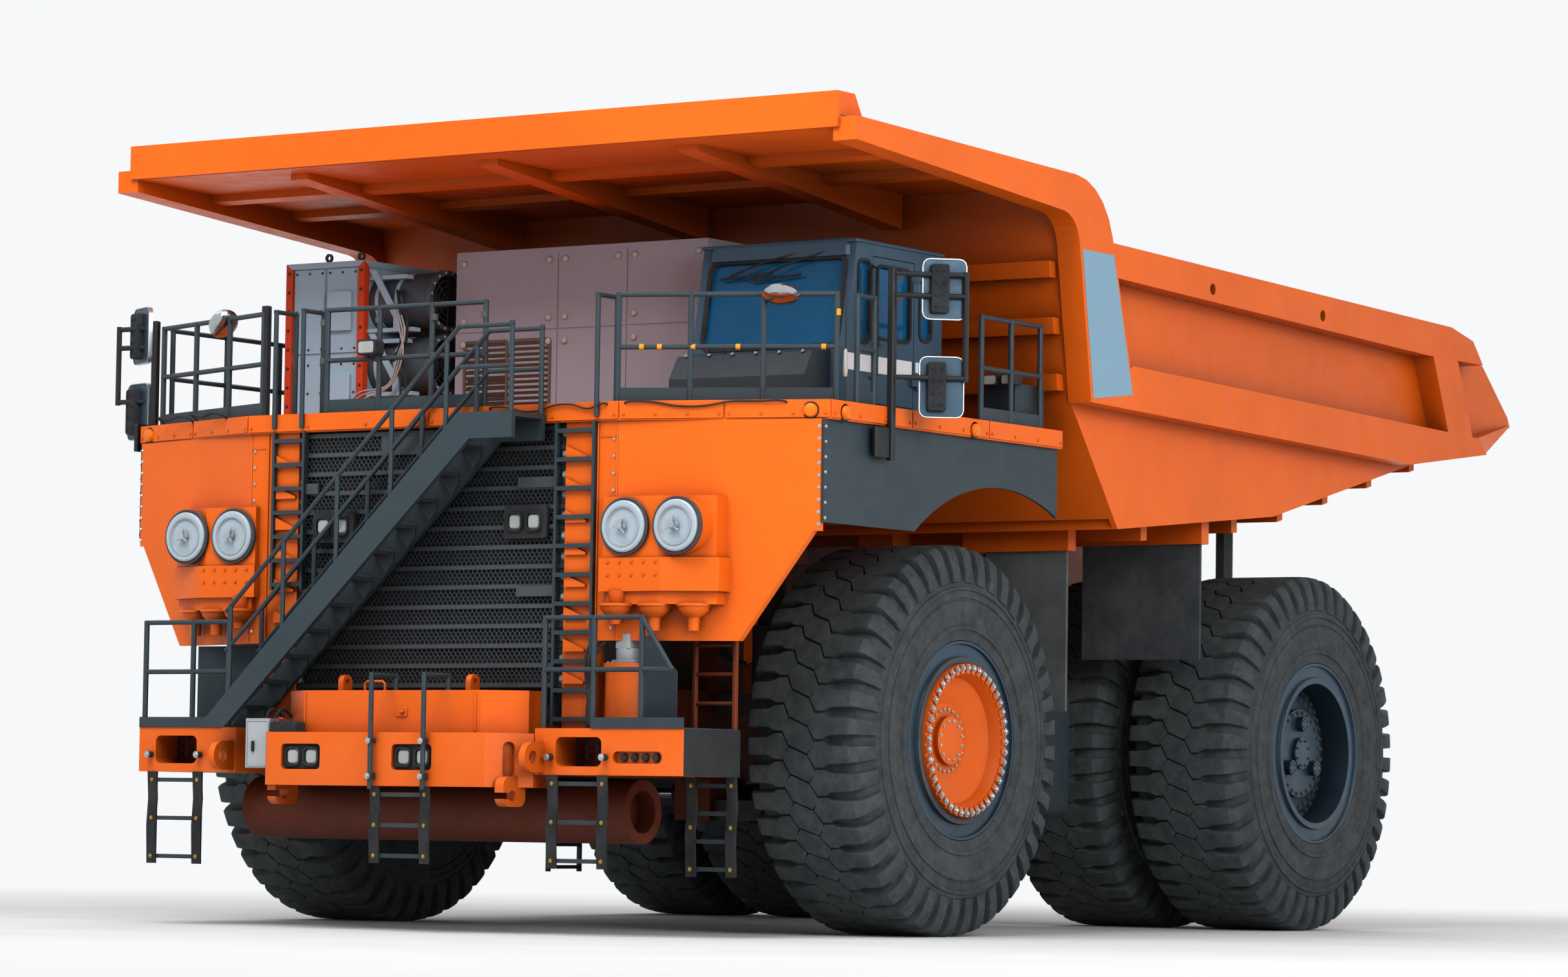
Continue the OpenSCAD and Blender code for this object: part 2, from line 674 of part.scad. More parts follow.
module control_cabinet() {
  seam = 16;
  width = cabinet_y1 - cabinet_y0;
  color("#8c7f7f") station() difference() {
    box(-300, cabinet_x, cabinet_y0, cabinet_y1, deck_z, cabinet_top);
    for (share = [0.41, 0.685]) translate([cabinet_x - 10, cabinet_y0 + share * width, deck_z + 60])
      cube([20, seam, cabinet_top - deck_z - 120]);
    box(cabinet_x - 10, cabinet_x + 10, cabinet_y0 - 10, cabinet_y1 + 10, 5932, 5932 + seam);
    for (i = [0 : 6]) translate([cabinet_x - 20, cabinet_y0 + 0.05 * width, 5200 + i * 80])
      cube([30, 0.18 * width, 40]);
  }
}
module grid_box() {
  face = 1200;
  post = 80;
  rows = [[deck_z + 90, 5700], [5780, 6640]];
  color("#8ca5b4") station() difference() {
    union() {
      box(-270, face - 40, grid_y0 + 20, grid_y1 - 20, deck_z, grid_top - 40);
      for (x = [-300, face - post]) for (y = [grid_y0, grid_y1 - post])
        box(x, x + post, y, y + post, deck_z, grid_top);
      box(-300, face, grid_y0, grid_y1, grid_top - 60, grid_top);
      for (row = rows) for (y = [grid_y0 + 100, grid_y0 + 530])
        box(face - 50, face - 20, y, y + 390, row[0], row[1]);
    }
    for (z = [5050 : 110 : 6500]) box(-150, 1050, grid_y0, grid_y0 + 45, z, z + 60);
  }
}
module grid_blowers() {
  color("#5a6468") station() for (z = [5640, 6290]) turned_y(815, grid_y1 - 20, z)
    polygon([[0, 0], [290, 0], [290, 740], [310, 750], [310, 810], [262, 810], [262, 540], [110, 540],
      [110, 620], [0, 660]]);
}
module equipment_boxes() {
  color("#454c50") station() {
    xz(cab_y0 + 50, cab_y1 - 160) polygon([[cab_x1, deck_z], [1900, deck_z], [1900, deck_z + 330],
      [1760, deck_z + 560], [cab_x1, deck_z + 600]]);
    box(-1250, -700, deck_hw - 510, deck_hw - 110, deck_z, deck_z + 420);
    box(plat_x, 4000, -1640, -1350, 1520, 1990);
    box(2900, 3060, -3050, -2300, plat_z, 2720);
  }
}
module lube_tank() {
  color("#e8641a") station() translate([3210, 2260, plat_z]) rotate_extrude()
    polygon([[0, 0], [205, 0], [205, 560], [225, 560], [225, 610], [90, 610], [90, 750], [0, 750]]);
}
module mirrors() {
  color("#3a4248") station() {
    box(1720, 1790, deck_hw, deck_hw + 70, 4450, 6260);
    upright([1755, deck_hw + 35], [1270, deck_hw + 550]) mirror_frame(740, 5230, 6240);
    mirror([0, 1, 0]) {
      box(2450, 2520, deck_hw, deck_hw + 70, deck_low, 6040);
      upright([2485, deck_hw + 35], [2485, deck_hw + 550]) mirror_frame(515, 5230, 6010);
    }
  }
}
module mirror_frame(len, z0, z1) {
  for (z = [z0, z1]) {
    tube(0, z, len, z, 50);
    xz(-15, 15) polygon([[0, z - 160], [130, z - 10], [130, z + 10], [0, z + 30]]);
  }
  tube(len - 25, z0 - 20, len - 25, z1 + 20, 56);
  xz(-45, 45) {
    polygon(soft(len - 470, len - 60, z1 - 260, z1 + 110, 60));
    polygon(soft(len - 420, len - 40, z0 - 290, z0 + 40, 60));
  }
}

module knuckle() {
  difference() {
    union() {
      cyl_z(0, king_y, knuckle_low, knuckle_top, 185);
      cyl_y(0, axle_z, king_y, front_tyre_y + 140, spindle_r);
      plan(1420, 1520) {
        polygon([[0, king_y + 120], [0, king_y - 120], [link_x, king_y - 155], [link_x, king_y - 5]]);
        translate([link_x, king_y - 80]) circle(r = 85);
      }
    }
    cyl_z(0, king_y, knuckle_low - 10, knuckle_top + 10, king_r + run_gap);
  }
}
module knuckle_left() {
  color("#565b5f") station() knuckle();
}
module knuckle_right() {
  color("#565b5f") station() side(-1) knuckle();
}

module front_hub(s) {
  r = spindle_r + run_gap;
  a = rim_hw - 30;
  color("#ef6a1e") station() side(s) {
    turned_y(0, front_tyre_y, axle_z) polygon([[0, a - 95], [232, a - 95], [232, a - 150], [360, a - 155],
      [600, a - 40], [640, a + 75], [737, a + 75], [737, a], [645, a], [645, a - 60], [380, a - 215],
      [330, a - 215], [330, -560], [r, -560], [r, 150], [0, 150]]);
    for (i = [0 : cleat_count - 1]) translate([0, front_tyre_y + a + 60, axle_z])
      rotate([0, i * 360 / cleat_count, 0]) translate([645, 0, -32]) cube([90, 33, 64]);
  }
}
module front_hub_left() {
  front_hub(1);
}
module front_hub_right() {
  front_hub(-1);
}

module rim_profile() {
  polygon([[740, -rim_hw], [rim_r, -rim_hw], [rim_r, -rim_hw + 40], [seat_r, -rim_hw + 55],
    [seat_r, rim_hw - 55], [rim_r, rim_hw - 40], [rim_r, rim_hw], [rim_r - 25, rim_hw],
    [rim_r - 35, rim_hw - 25], [seat_r + 10, rim_hw - 25], [seat_r, rim_hw], [740, rim_hw]]);
}
module front_rim(s) {
  a = rim_hw - 30;
  color("#2d3c4b") station() side(s) turned_y(0, front_tyre_y, axle_z) {
    rim_profile();
    translate([650, a - 50]) square([100, 50]);
  }
}
module front_rim_left() {
  front_rim(1);
}
module front_rim_right() {
  front_rim(-1);
}

// Notch between two shoulder lugs: along the groove's floor and out through the shoulder
module lug_notch(s) {
  r = tyre_d / 2;
  t = tread_w / 2;
  w = tyre_w / 2;
  groove = 0.38 * PI * tyre_d / lug_count;
  rotate([90, 0, 0]) linear_extrude(groove, center = true)
    polygon([[r + 20, s * t * 0.45], [r - 0.6 * lug_depth, s * t * 0.45], [r - lug_depth, s * t],
      [r - 2.4 * lug_depth, s * (w + 20)], [r + 20, s * (w + 20)]]);
}
module tyre() {
  b = rim_hw - 58;
  w = tyre_w / 2;
  t = tread_w / 2;
  r = tyre_d / 2;
  g = 0.4;
  half = [[seat_r + g, b], [rim_r + 4, b + 17], [rim_r + 8, rim_hw + 4], [rim_r + 160, w - 4],
    [rim_r + 330, w], [rim_r + 560, w - 16], [r - 160, t + 62], [r - 50, t + 22], [r, t]];
  rotate([-90, 0, 0]) difference() {
    rotate_extrude() polygon(concat(half, [for (i = [len(half) - 1 : -1 : 0]) [half[i][0], -half[i][1]]]));
    for (s = [-1, 1]) for (i = [0 : lug_count - 1]) rotate((i + s / 4) * 360 / lug_count) lug_notch(s);
  }
}
module front_tyre_left() {
  color("#4b5052") station() translate([0, front_tyre_y, axle_z]) tyre();
}
module front_tyre_right() {
  color("#4b5052") station() translate([0, -front_tyre_y, axle_z]) tyre();
}

module rear_wheel(s) {
  y0 = rear_tyre_y;
  color("#2d3c4b") station() side(s) {
    turned_y(rear_x, rear_tyre_y, axle_z) rim_profile();
    turned_y(rear_x, rear_in_y, axle_z) rim_profile();
    turned_y(rear_x, 0, axle_z) {
      polygon([[745, rear_in_y], [795, rear_in_y], [795, y0], [745, y0]]);
      polygon([[0, y0 + 490], [167, y0 + 490], [167, y0 + 450], [465, y0 + 450], [465, y0 + 380],
        [630, y0 + 380], [630, y0 + 330], [760, y0 + 330], [760, y0 + 250], [560, y0 + 200], [560, 2750],
        [axle_r + run_gap, 2750], [axle_r + run_gap, y0 + 110], [0, y0 + 110]]);
    }
    for (i = [0 : 2]) translate([rear_x, y0 + 440, axle_z]) rotate([0, 30 + i * 120, 0])
      translate([310, 0, 0]) rotate([-90, 0, 0]) cylinder(r = 80, h = 80);
  }
}
module rear_wheel_left() {
  rear_wheel(1);
}
module rear_wheel_right() {
  rear_wheel(-1);
}
module rear_tyres_left() {
  color("#4b5052") station() for (y = [rear_tyre_y, rear_in_y]) translate([rear_x, y, axle_z]) tyre();
}
module rear_tyres_right() {
  color("#4b5052") station() for (y = [rear_tyre_y, rear_in_y]) translate([rear_x, -y, axle_z]) tyre();
}

module steering_link() {
  color("#8d9396") station() {
    cyl_y(link_x, link_z, -king_y + 90, king_y - 90, 50);
    both() {
      cyl_z(link_x, king_y - 80, link_z - 60, 1420 - run_gap, 80);
      cyl_y(rod_x, link_z, 840, 2230, 50);
      box(link_x - 60, rod_x + 60, 2180, 2260, link_z - 60, link_z + 60);
    }
  }
}

module bed_floor() {
  color("#e0601a") station() xz(-inner_hw, inner_hw) polygon([
    for (x = [foot_x, bend_x, tail_x]) [x, under(x)],
    for (x = [tail_x, bend_x, foot_x]) [x, under(x) + floor_t]]);
}

// Point of the bed's understructure against the floor plate
function seat(x) = [x, under(x) - seat_gap];

module bed_underframe() {
  color("#e0601a") station() difference() {
    union() {
      both() {
        bed_sill();
        pivot_bracket();
        for (y = [hoist_y - 190, hoist_y + 130]) xz(y, y + 60) hoist_bracket();
        for (y = [hoist_y - 220, hoist_y + 180]) cyl_y(hoist_high[0], hoist_high[1], y, y + 40, 95);
        xz(2250, 3500) flap_beam(front_flap_x, 3850);
        xz(2550, bed_hw - 150) flap_beam(rear_flap_x, 4000);
      }
      for (x = [foot_x - 960, bend_x + 400]) floor_rib(x);
      for (i = [0 : 4]) floor_rib(rear_x + 300 - i * 1025);
    }
    both() cyl_y(pivot_x, pivot_z, rail_out, rail_out + 150, pivot_r + run_gap);
  }
}
// Longitudinal beam that rests on the frame rail
module bed_sill() {
  x0 = foot_x - 560;
  x1 = pivot_x - 250;
  xz(rail_in + 20, rail_out + 20) polygon([seat(x0), [x0, rail_top(x0) + 10],
    [arch_x, rail_top(arch_x) + 10], [x1, rail_top(x1) + 10], [x1 - 450, under(x1 - 450) - 400],
    seat(x1 - 1150), seat(bend_x)]);
}
module pivot_bracket() {
  xz(rail_out + 10, rail_out + 130) {
    polygon([[pivot_x + 700, 4200], [pivot_x + 230, pivot_z], [pivot_x - 230, pivot_z],
      [pivot_x - 400, 4200]]);
    translate([pivot_x, pivot_z]) circle(r = 250);
  }
}
module hoist_bracket() {
  x = hoist_high[0];
  z = hoist_high[1];
  polygon([seat(x - 260), [x - 120, z], [x + 120, z], seat(x + 260)]);
  translate(hoist_high) circle(r = 150);
}
module flap_beam(x, low) {
  polygon([seat(x - 75), [x - 75, low], [x + 75, low], seat(x + 75)]);
}
module floor_rib(x) {
  xz(250 - bed_hw, bed_hw - 250) polygon([seat(x - 60), seat(x + 60), seat(x + 60) - [0, 150],
    seat(x - 60) - [0, 150]]);
}

module bed_sides() {
  color("#f1691a") station() both() {
    xz(inner_hw, bed_hw) polygon([[-1180, eave(-1180)], knee,
      for (x = [foot_x, bend_x, tail_x]) [x, under(x)], [tail_x + 60, 5800], [tail_x + 700, 6330],
      [tail_x + 1350, 6600], [-1870, 6840], [-1280, eave(-1280)]]);
    xz(bed_hw - 10, rail_hw) {
      wing();
      top_rail();
      polygon([[-2280, 5650], [rear_x - 3450, 5470], [rear_x - 3650, 5300], [pivot_x - 200, 5070],
        [-1480, 5230]]);
      polygon([[rear_x - 2300, 6320], [rear_x - 2900, 6320], [rear_x - 3300, 5450], [rear_x - 2700, 5450]]);
    }
  }
}
// Canopy arm and front post in one plate, with a round outer corner and inner arch
module wing() {
  tip = [[canopy_x, 7320], [canopy_x, 7540]];
  corner = [-1696, 7427];
  foot = [[-2320, 5330], [-1470, 5230]];
  arch = [-1173, 7045];
  polygon(concat(tip, rounded(tip[1], corner, foot[0], 770), foot, rounded(foot[1], arch, tip[0], 340)));
}
module top_rail() {
  difference() {
    polygon([[-1870, 6840], [rear_x - 2750, 6660], [rear_x - 3290, 6550], [rear_x - 3540, 6300],
      [rear_x - 2160, 6300], [-1960, 6500]]);
    for (x = [-3900, -6300]) translate([x, 6620 + (x + 1870) * 0.024]) circle(r = 60);
  }
}
module bed_front_wall() {
  lean = 0.152;
  foot = foot_z + floor_t + seat_gap;
  color("#e8641a") station() {
    xz(-inner_hw, inner_hw) polygon([[-1180, eave(-1180)], knee, [foot_x + 79, foot], [foot_x, foot],
      [foot_x - 40, under(foot_x - 40) + floor_t + seat_gap], [-1600, 5210], [-1270, eave(-1270)]]);
    for (z = [0, 550, 1100]) translate([knee[0] + z * lean, 0, 5350 + z]) xz(-inner_hw, inner_hw)
      polygon([[0, 0], [160, 0], [185, 160], [24, 160]]);
  }
}
module bed_canopy() {
  in = bed_hw - 10;
  lip = bed_hw + 60;
  color("#f1691a") station() {
    xz(-in, in) polygon([[canopy_x, eave(canopy_x)], [canopy_x, eave(canopy_x) + 40],
      [-1280, eave(-1280) + 40], [-1280, eave(-1280)]]);
    box(canopy_x, canopy_x + 40, -lip, lip, 7446, 7780);
    both() xz(bed_hw, lip)
      polygon([[canopy_x + 10, 7560], [canopy_x + 10, 7780], [2560, 7780], [2420, 7560]]);
    for (y = [-2350, 0, 2350]) xz(y - 110, y + 110)
      polygon([[2500, eave(2500) + 10], [-1100, eave(-1100) + 10], [-1100, 7000], [2500, eave(2500) - 60]]);
    for (x = [200, 1500]) xz(-in, in)
      polygon([[x, eave(x) + 10], [x + 160, eave(x + 160) + 10], [x + 160, eave(x) - 70], [x, eave(x) - 90]]);
  }
}
module bed_guards() {
  ejector_x = rear_x - 550;
  color("#3a4044") station() both() {
    yz(front_flap_x - 20, front_flap_x + 20) polygon([[2500, 3850], [3450, 3850], [3450, 2230], [2300, 2230],
      [2300, 2900]]);
    yz(rear_flap_x - 20, rear_flap_x + 20) polygon([[2600, 4000], [bed_hw - 200, 4000], [bed_hw - 200, 2810],
      [2600, 2810]]);
    xz(2765, 2865) polygon([[ejector_x + 100, under(ejector_x + 100) - seat_gap],
      [ejector_x - 100, under(ejector_x - 100) - seat_gap], [ejector_x - 100, 2900],
      [ejector_x + 100, 2900]]);
  }
}

module hoist(s) {
  translate([hoist_low[0], s * hoist_y, hoist_low[1]]) rotate([0, hoist_tilt, 0]) children();
}
module hoist_barrels() {
  color("#43484b") station() for (s = [-1, 1]) hoist(s) difference() {
    union() {
      cyl_y(0, 0, -100, 100, 170);
      box(-120, 120, -100, 100, 60, 300);
      cyl_z(0, 0, 260, 1990, 210);
    }
    cyl_y(0, 0, -120, 120, hoist_pin + run_gap);
    cyl_z(0, 0, 320, 2000, 160);
  }
}
module hoist_stages() {
  color("#a9b0b4") station() for (s = [-1, 1]) hoist(s) difference() {
    union() {
      cyl_z(0, 0, 330, 2080, 160 - run_gap);
      cyl_z(0, 0, 2000, 2080, 190);
    }
    cyl_z(0, 0, 420, 2100, 110);
  }
}
module hoist_rods() {
  color("#c3c9cc") station() for (s = [-1, 1]) hoist(s) difference() {
    union() {
      cyl_z(0, 0, 430, hoist_len - 100, 110 - run_gap);
      cyl_z(0, 0, 2090, 2140, 150);
      cyl_y(0, hoist_len, -105, 105, 145);
    }
    cyl_y(0, hoist_len, -120, 120, hoist_pin);
  }
}

main_frame();
engine();
suspension();
rear_axle();
steering_cylinders();
side_tanks();
bumper();
lamps();
radiator_grille();
front_panels();
air_cleaners();
air_cleaner_covers();
deck();
fender_skirts();
stairway();
ladders();
handrails();
cab_shell();
cab_glass();
cab_interior();
control_cabinet();
grid_box();
grid_blowers();
equipment_boxes();
lube_tank();
mirrors();
cab_door();
door_glass();
knuckle_left();
knuckle_right();
front_hub_left();
front_hub_right();
front_rim_left();
front_rim_right();
front_tyre_left();
front_tyre_right();
rear_wheel_left();
rear_wheel_right();
rear_tyres_left();
rear_tyres_right();
steering_link();
bed_floor();
bed_underframe();
bed_sides();
bed_front_wall();
bed_canopy();
bed_guards();
hoist_barrels();
hoist_stages();
hoist_rods();
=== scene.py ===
"""Looks of a mining dump truck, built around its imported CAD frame. Metres, +X forward, +Y left, +Z up."""
import math

import bpy
from mathutils import Matrix, Vector


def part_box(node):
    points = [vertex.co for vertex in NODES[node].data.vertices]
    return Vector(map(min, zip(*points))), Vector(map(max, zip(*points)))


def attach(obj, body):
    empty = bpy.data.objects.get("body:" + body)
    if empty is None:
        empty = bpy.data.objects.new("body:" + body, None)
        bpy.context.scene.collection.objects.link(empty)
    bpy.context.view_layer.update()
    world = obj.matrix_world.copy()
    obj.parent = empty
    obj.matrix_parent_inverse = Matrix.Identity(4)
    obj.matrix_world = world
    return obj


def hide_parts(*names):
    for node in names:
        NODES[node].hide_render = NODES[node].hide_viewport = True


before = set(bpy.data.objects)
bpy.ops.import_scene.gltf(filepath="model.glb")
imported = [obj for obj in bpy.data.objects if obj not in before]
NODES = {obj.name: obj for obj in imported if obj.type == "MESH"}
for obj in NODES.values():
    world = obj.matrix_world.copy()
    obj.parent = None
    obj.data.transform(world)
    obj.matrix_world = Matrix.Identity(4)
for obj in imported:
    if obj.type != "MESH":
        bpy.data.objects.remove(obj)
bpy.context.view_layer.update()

# Places shared by several pieces, taken from the frame
AXLE_X = 0.5 * (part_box("front_tyre_left")[0][0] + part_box("front_tyre_left")[1][0])
REAR_X = 0.5 * (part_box("rear_tyres_left")[0][0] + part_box("rear_tyres_left")[1][0])
AXLE_Z = 0.5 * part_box("front_tyre_left")[1][2]
# Face of the front panels, from the front axle's station
PANEL_X = 3.33
FORWARD = (1, 0, 0)
UP = (0, 0, 1)


# Materials

def fill(tree, node, sockets):
    """Gives a node's sockets their values or links."""
    for key, value in sockets.items():
        if isinstance(value, bpy.types.NodeSocket):
            tree.links.new(value, node.inputs[key])
        else:
            node.inputs[key].default_value = value
    return node


def new_node(tree, kind, sockets):
    return fill(tree, tree.nodes.new("ShaderNode" + kind), sockets)


def nodes_of(name):
    mat = bpy.data.materials.new(name)
    mat.use_nodes = True
    return mat, mat.node_tree, mat.node_tree.nodes["Principled BSDF"]


def place_of(tree):
    return tree.nodes.new("ShaderNodeTexCoord").outputs["Object"]


def noise(tree, scale, detail=6.0, rough=0.6):
    sockets = {"Vector": place_of(tree), "Scale": scale, "Detail": detail, "Roughness": rough}
    return new_node(tree, "TexNoise", sockets).outputs["Fac"]


def dim(colour, share):
    return tuple(c * share for c in colour)


def ramp(tree, value, *stops):
    """Colour between two stops of (position, colour)."""
    node = new_node(tree, "ValToRGB", {"Fac": value})
    for element, (position, colour) in zip(node.color_ramp.elements, stops):
        element.position = position
        element.color = (*colour, 1)
    return node.outputs["Color"]


def span(tree, value, low, high, to_low=0.0, to_high=1.0):
    sockets = {"Value": value, "From Min": low, "From Max": high, "To Min": to_low, "To Max": to_high}
    return new_node(tree, "MapRange", sockets).outputs["Result"]


def math_node(tree, op, a, b):
    node = new_node(tree, "Math", {0: a, 1: b})
    node.operation = op
    return node.outputs[0]


def mix(tree, fac, a, b):
    """Colour between two others, each a socket or plain."""
    node = tree.nodes.new("ShaderNodeMix")
    node.data_type = "RGBA"
    a, b = [(*c, 1) if isinstance(c, tuple) else c for c in (a, b)]
    return fill(tree, node, {"Factor": fac, 6: a, 7: b}).outputs[2]


def bump(tree, height, strength, distance):
    sockets = {"Height": height, "Strength": strength, "Distance": distance}
    return new_node(tree, "Bump", sockets).outputs["Normal"]


def z_of(tree, vector):
    return new_node(tree, "SeparateXYZ", {0: vector}).outputs["Z"]


def corner_shade(tree):
    """Painted shade from ambient occlusion: from 0 deep in corners and under roofs, where shade falls, to 1
    out in the open.
    """
    node = new_node(tree, "AmbientOcclusion", {"Distance": 2.2})
    node.samples = 6
    return span(tree, node.outputs["AO"], 0.25, 0.85)


DUST = (0.33, 0.26, 0.2)


def paint(name, colour, rough=0.42, dust=0.25, shade=0.82, dirt_and_shade=DUST, metallic=0.0, deep=0.3):
    """Sprayed paint: slow fading, fine speckle, orange-peel bump, dust on flat tops and low down, and
    painted shade in corners and under roofs that darkens it to deep times its colour.
    """
    mat, tree, shader = nodes_of(name)
    body = ramp(tree, noise(tree, 0.55), (0.3, dim(colour, shade)), (0.7, colour))
    speck = span(tree, noise(tree, 38, 3), 0.62, 0.78, 0.0, 0.35)
    body = mix(tree, speck, body, dim(colour, 0.6))
    top = span(tree, z_of(tree, tree.nodes.new("ShaderNodeNewGeometry").outputs["Normal"]), 0.3, 1.0)
    low = span(tree, z_of(tree, place_of(tree)), 0.3, 2.6, 0.7, 0.0)
    patchy = span(tree, noise(tree, 2.2, 8, 0.7), 0.42, 0.7)
    amount = math_node(tree, "MULTIPLY", math_node(tree, "MAXIMUM", top, low), patchy)
    amount = math_node(tree, "MULTIPLY", amount, dust)
    gloss = span(tree, noise(tree, 5, 5), 0.3, 0.7, rough - 0.07, rough + 0.1)
    # Base colour darkened by painted shade in corners and under roofs, then dusted
    fill(tree, shader, {
        "Base Color": mix(tree, corner_shade(tree), dim(colour, deep), mix(tree, amount, body, dirt_and_shade)),
        "Roughness": math_node(tree, "ADD", gloss, math_node(tree, "MULTIPLY", amount, 0.4)),
        "Normal": bump(tree, noise(tree, 90, 3), 0.06, 0.004),
        "Specular IOR Level": 0.25,
        "Metallic": metallic,
    })
    return mat


def rubber(name, colour, dusty, scale=6.0):
    mat, tree, shader = nodes_of(name)
    grime = span(tree, noise(tree, scale, 8, 0.7), 0.38, 0.68)
    fill(tree, shader, {
        "Base Color": mix(tree, grime, colour, dusty),
        "Roughness": span(tree, noise(tree, 20, 4), 0.3, 0.7, 0.72, 0.9),
        "Normal": bump(tree, noise(tree, 55, 5), 0.25, 0.004),
        "Specular IOR Level": 0.25,
    })
    return mat


def metal(name, colour, rough=0.35):
    mat, tree, shader = nodes_of(name)
    fill(tree, shader, {
        "Base Color": ramp(tree, noise(tree, 4, 6), (0.3, dim(colour, 0.7)), (0.7, colour)),
        "Roughness": span(tree, noise(tree, 60, 3), 0.3, 0.7, rough - 0.1, rough + 0.12),
        "Normal": bump(tree, noise(tree, 120, 2), 0.05, 0.002),
        "Metallic": 1.0,
    })
    return mat


def glass(name, tint, rough=0.04, alpha=0.55):
    mat, tree, shader = nodes_of(name)
    fill(tree, shader, {
        "Base Color": ramp(tree, noise(tree, 2.5, 4), (0.35, dim(tint, 0.8)), (0.7, tint)),
        "Roughness": span(tree, noise(tree, 9, 5), 0.4, 0.75, rough, rough + 0.12),
        "Alpha": alpha,
        "Specular IOR Level": 0.2,
    })
    return mat


def cloth(name, colour, scale):
    """Woven cloth: two crossed sets of threads and slow fading."""
    mat, tree, shader = nodes_of(name)
    threads = []
    for axis in ("X", "Y"):
        wave = new_node(tree, "TexWave", {"Scale": scale, "Vector": place_of(tree)})
        wave.bands_direction = axis
        threads.append(wave.outputs["Fac"])
    weave = math_node(tree, "MULTIPLY", *threads)
    fade = mix(tree, noise(tree, 6), dim(colour, 0.6), colour)
    fill(tree, shader, {
        "Base Color": mix(tree, weave, fade, dim(colour, 1.6)),
        "Roughness": span(tree, noise(tree, 30), 0.3, 0.7, 0.8, 0.95),
        "Normal": bump(tree, weave, 0.4, 0.002),
    })
    return mat


# deep: share of the colour left where the painted shade in corners and under roofs is darkest
ORANGE = paint("orange_paint", (0.86, 0.132, 0.004))
# Frame paint: the orange darkened as painted shade under the body, its near-black dust colour adding painted
# shade low down and on flat tops
FRAME = paint("frame_paint", (0.2, 0.033, 0.006), 0.6, 0.9, 0.6, (0.04, 0.034, 0.03))
DARK = paint("dark_paint", (0.03, 0.046, 0.056), 0.5, 0.12, 0.8)
BLACK = paint("black_paint", (0.013, 0.015, 0.017), 0.45, 0.06, 0.8)
CAB = paint("cab_paint", (0.038, 0.084, 0.128), 0.4, 0.12, 0.85, deep=0.7)
CABINET = paint("cabinet_paint", (0.33, 0.32, 0.365), 0.5, 0.2, 0.85, deep=0.8)
GRID = paint("grid_paint", (0.36, 0.52, 0.63), 0.5, 0.2, 0.85, deep=0.85)
BLOWER = paint("blower_paint", (0.075, 0.095, 0.115), 0.45, 0.2, 0.8, deep=0.6)
GRIDPOST = paint("grid_post_paint", (0.68, 0.055, 0.01), 0.5, 0.2, 0.8, deep=0.75)
COVER = paint("cover_paint", (0.42, 0.5, 0.56), 0.4, 0.2, 0.88)
RIM = paint("rim_paint", (0.04, 0.075, 0.11), 0.34, 0.3, 0.7, metallic=0.55)
BOXGREY = paint("box_grey_paint", (0.42, 0.45, 0.46), 0.45, 0.2, 0.9)
PALESTRIPE = paint("pale_stripe_paint", (0.74, 0.75, 0.77), 0.45, 0.1, 0.92, deep=0.9)
STRIPE = paint("stripe_paint", (0.22, 0.36, 0.46), 0.45, 0.1, 0.92)
CAST = paint("cast_steel", (0.07, 0.075, 0.08), 0.7, 0.9, 0.7)
STEEL = metal("ground_steel", (0.62, 0.63, 0.64), 0.25)
BOLT = metal("bolt_steel", (0.55, 0.57, 0.58), 0.38)
TYRE = rubber("tyre_rubber", (0.03, 0.036, 0.038), (0.062, 0.068, 0.07))
PALEFLAP = rubber("pale_flap_rubber", (0.07, 0.078, 0.08), (0.11, 0.115, 0.115), 3.0)
FLAP = rubber("flap_rubber", (0.032, 0.038, 0.042), (0.06, 0.066, 0.07), 3.0)
TRIM = rubber("trim_plastic", (0.012, 0.013, 0.015), (0.03, 0.03, 0.032), 3.0)
GLASS = glass("cab_glass_tint", (0.006, 0.12, 0.28), 0.04, 0.6)
LENS = glass("lamp_lens", (0.8, 0.82, 0.8), 0.08, 0.5)
AMBER = glass("amber_lens", (0.95, 0.2, 0.012), 0.2, 0.95)
MIRROR = metal("mirror_glass", (0.5, 0.55, 0.58), 0.15)
MESH = paint("mesh_paint", (0.062, 0.071, 0.078), 0.36, 0.04, 0.75, deep=0.2)
PALE = paint("pale_bolts", (0.55, 0.53, 0.48), 0.45, 0.1, 0.9)
RED = paint("red_button", (0.5, 0.02, 0.015), 0.3, 0.05, 0.9)
LOUVRE = paint("louvre_paint", (0.15, 0.1, 0.075), 0.55, 0.1, 0.85)
TAPE = paint("tape_paint", (0.85, 0.3, 0.01), 0.5, 0.05, 0.9)
BRASS = metal("brass", (0.5, 0.32, 0.07), 0.35)
SEAT = cloth("seat_cloth", (0.03, 0.034, 0.042), 160)

FINISH = {
    ORANGE: "bumper front_panels air_cleaners deck lube_tank front_hub_left front_hub_right "
            "bed_floor bed_underframe bed_sides bed_front_wall bed_canopy",
    FRAME: "main_frame",
    # side_tanks take the dark paint as painted shade between the wheels
    DARK: "side_tanks fender_skirts stairway ladders handrails equipment_boxes mirrors",
    BLOWER: "grid_blowers",
    # hoist_barrels take the black paint as painted shade under the body
    BLACK: "radiator_grille steering_cylinders hoist_barrels",
    CAB: "cab_shell cab_door",
    CABINET: "control_cabinet",
    GRID: "grid_box",
    COVER: "air_cleaner_covers",
    RIM: "front_rim_left front_rim_right rear_wheel_left rear_wheel_right",
    CAST: "engine suspension rear_axle knuckle_left knuckle_right",
    STEEL: "steering_link hoist_stages hoist_rods",
    TYRE: "front_tyre_left front_tyre_right rear_tyres_left rear_tyres_right",
    FLAP: "bed_guards",
    GLASS: "cab_glass door_glass",
    LENS: "lamps",
    TRIM: "cab_interior",
}


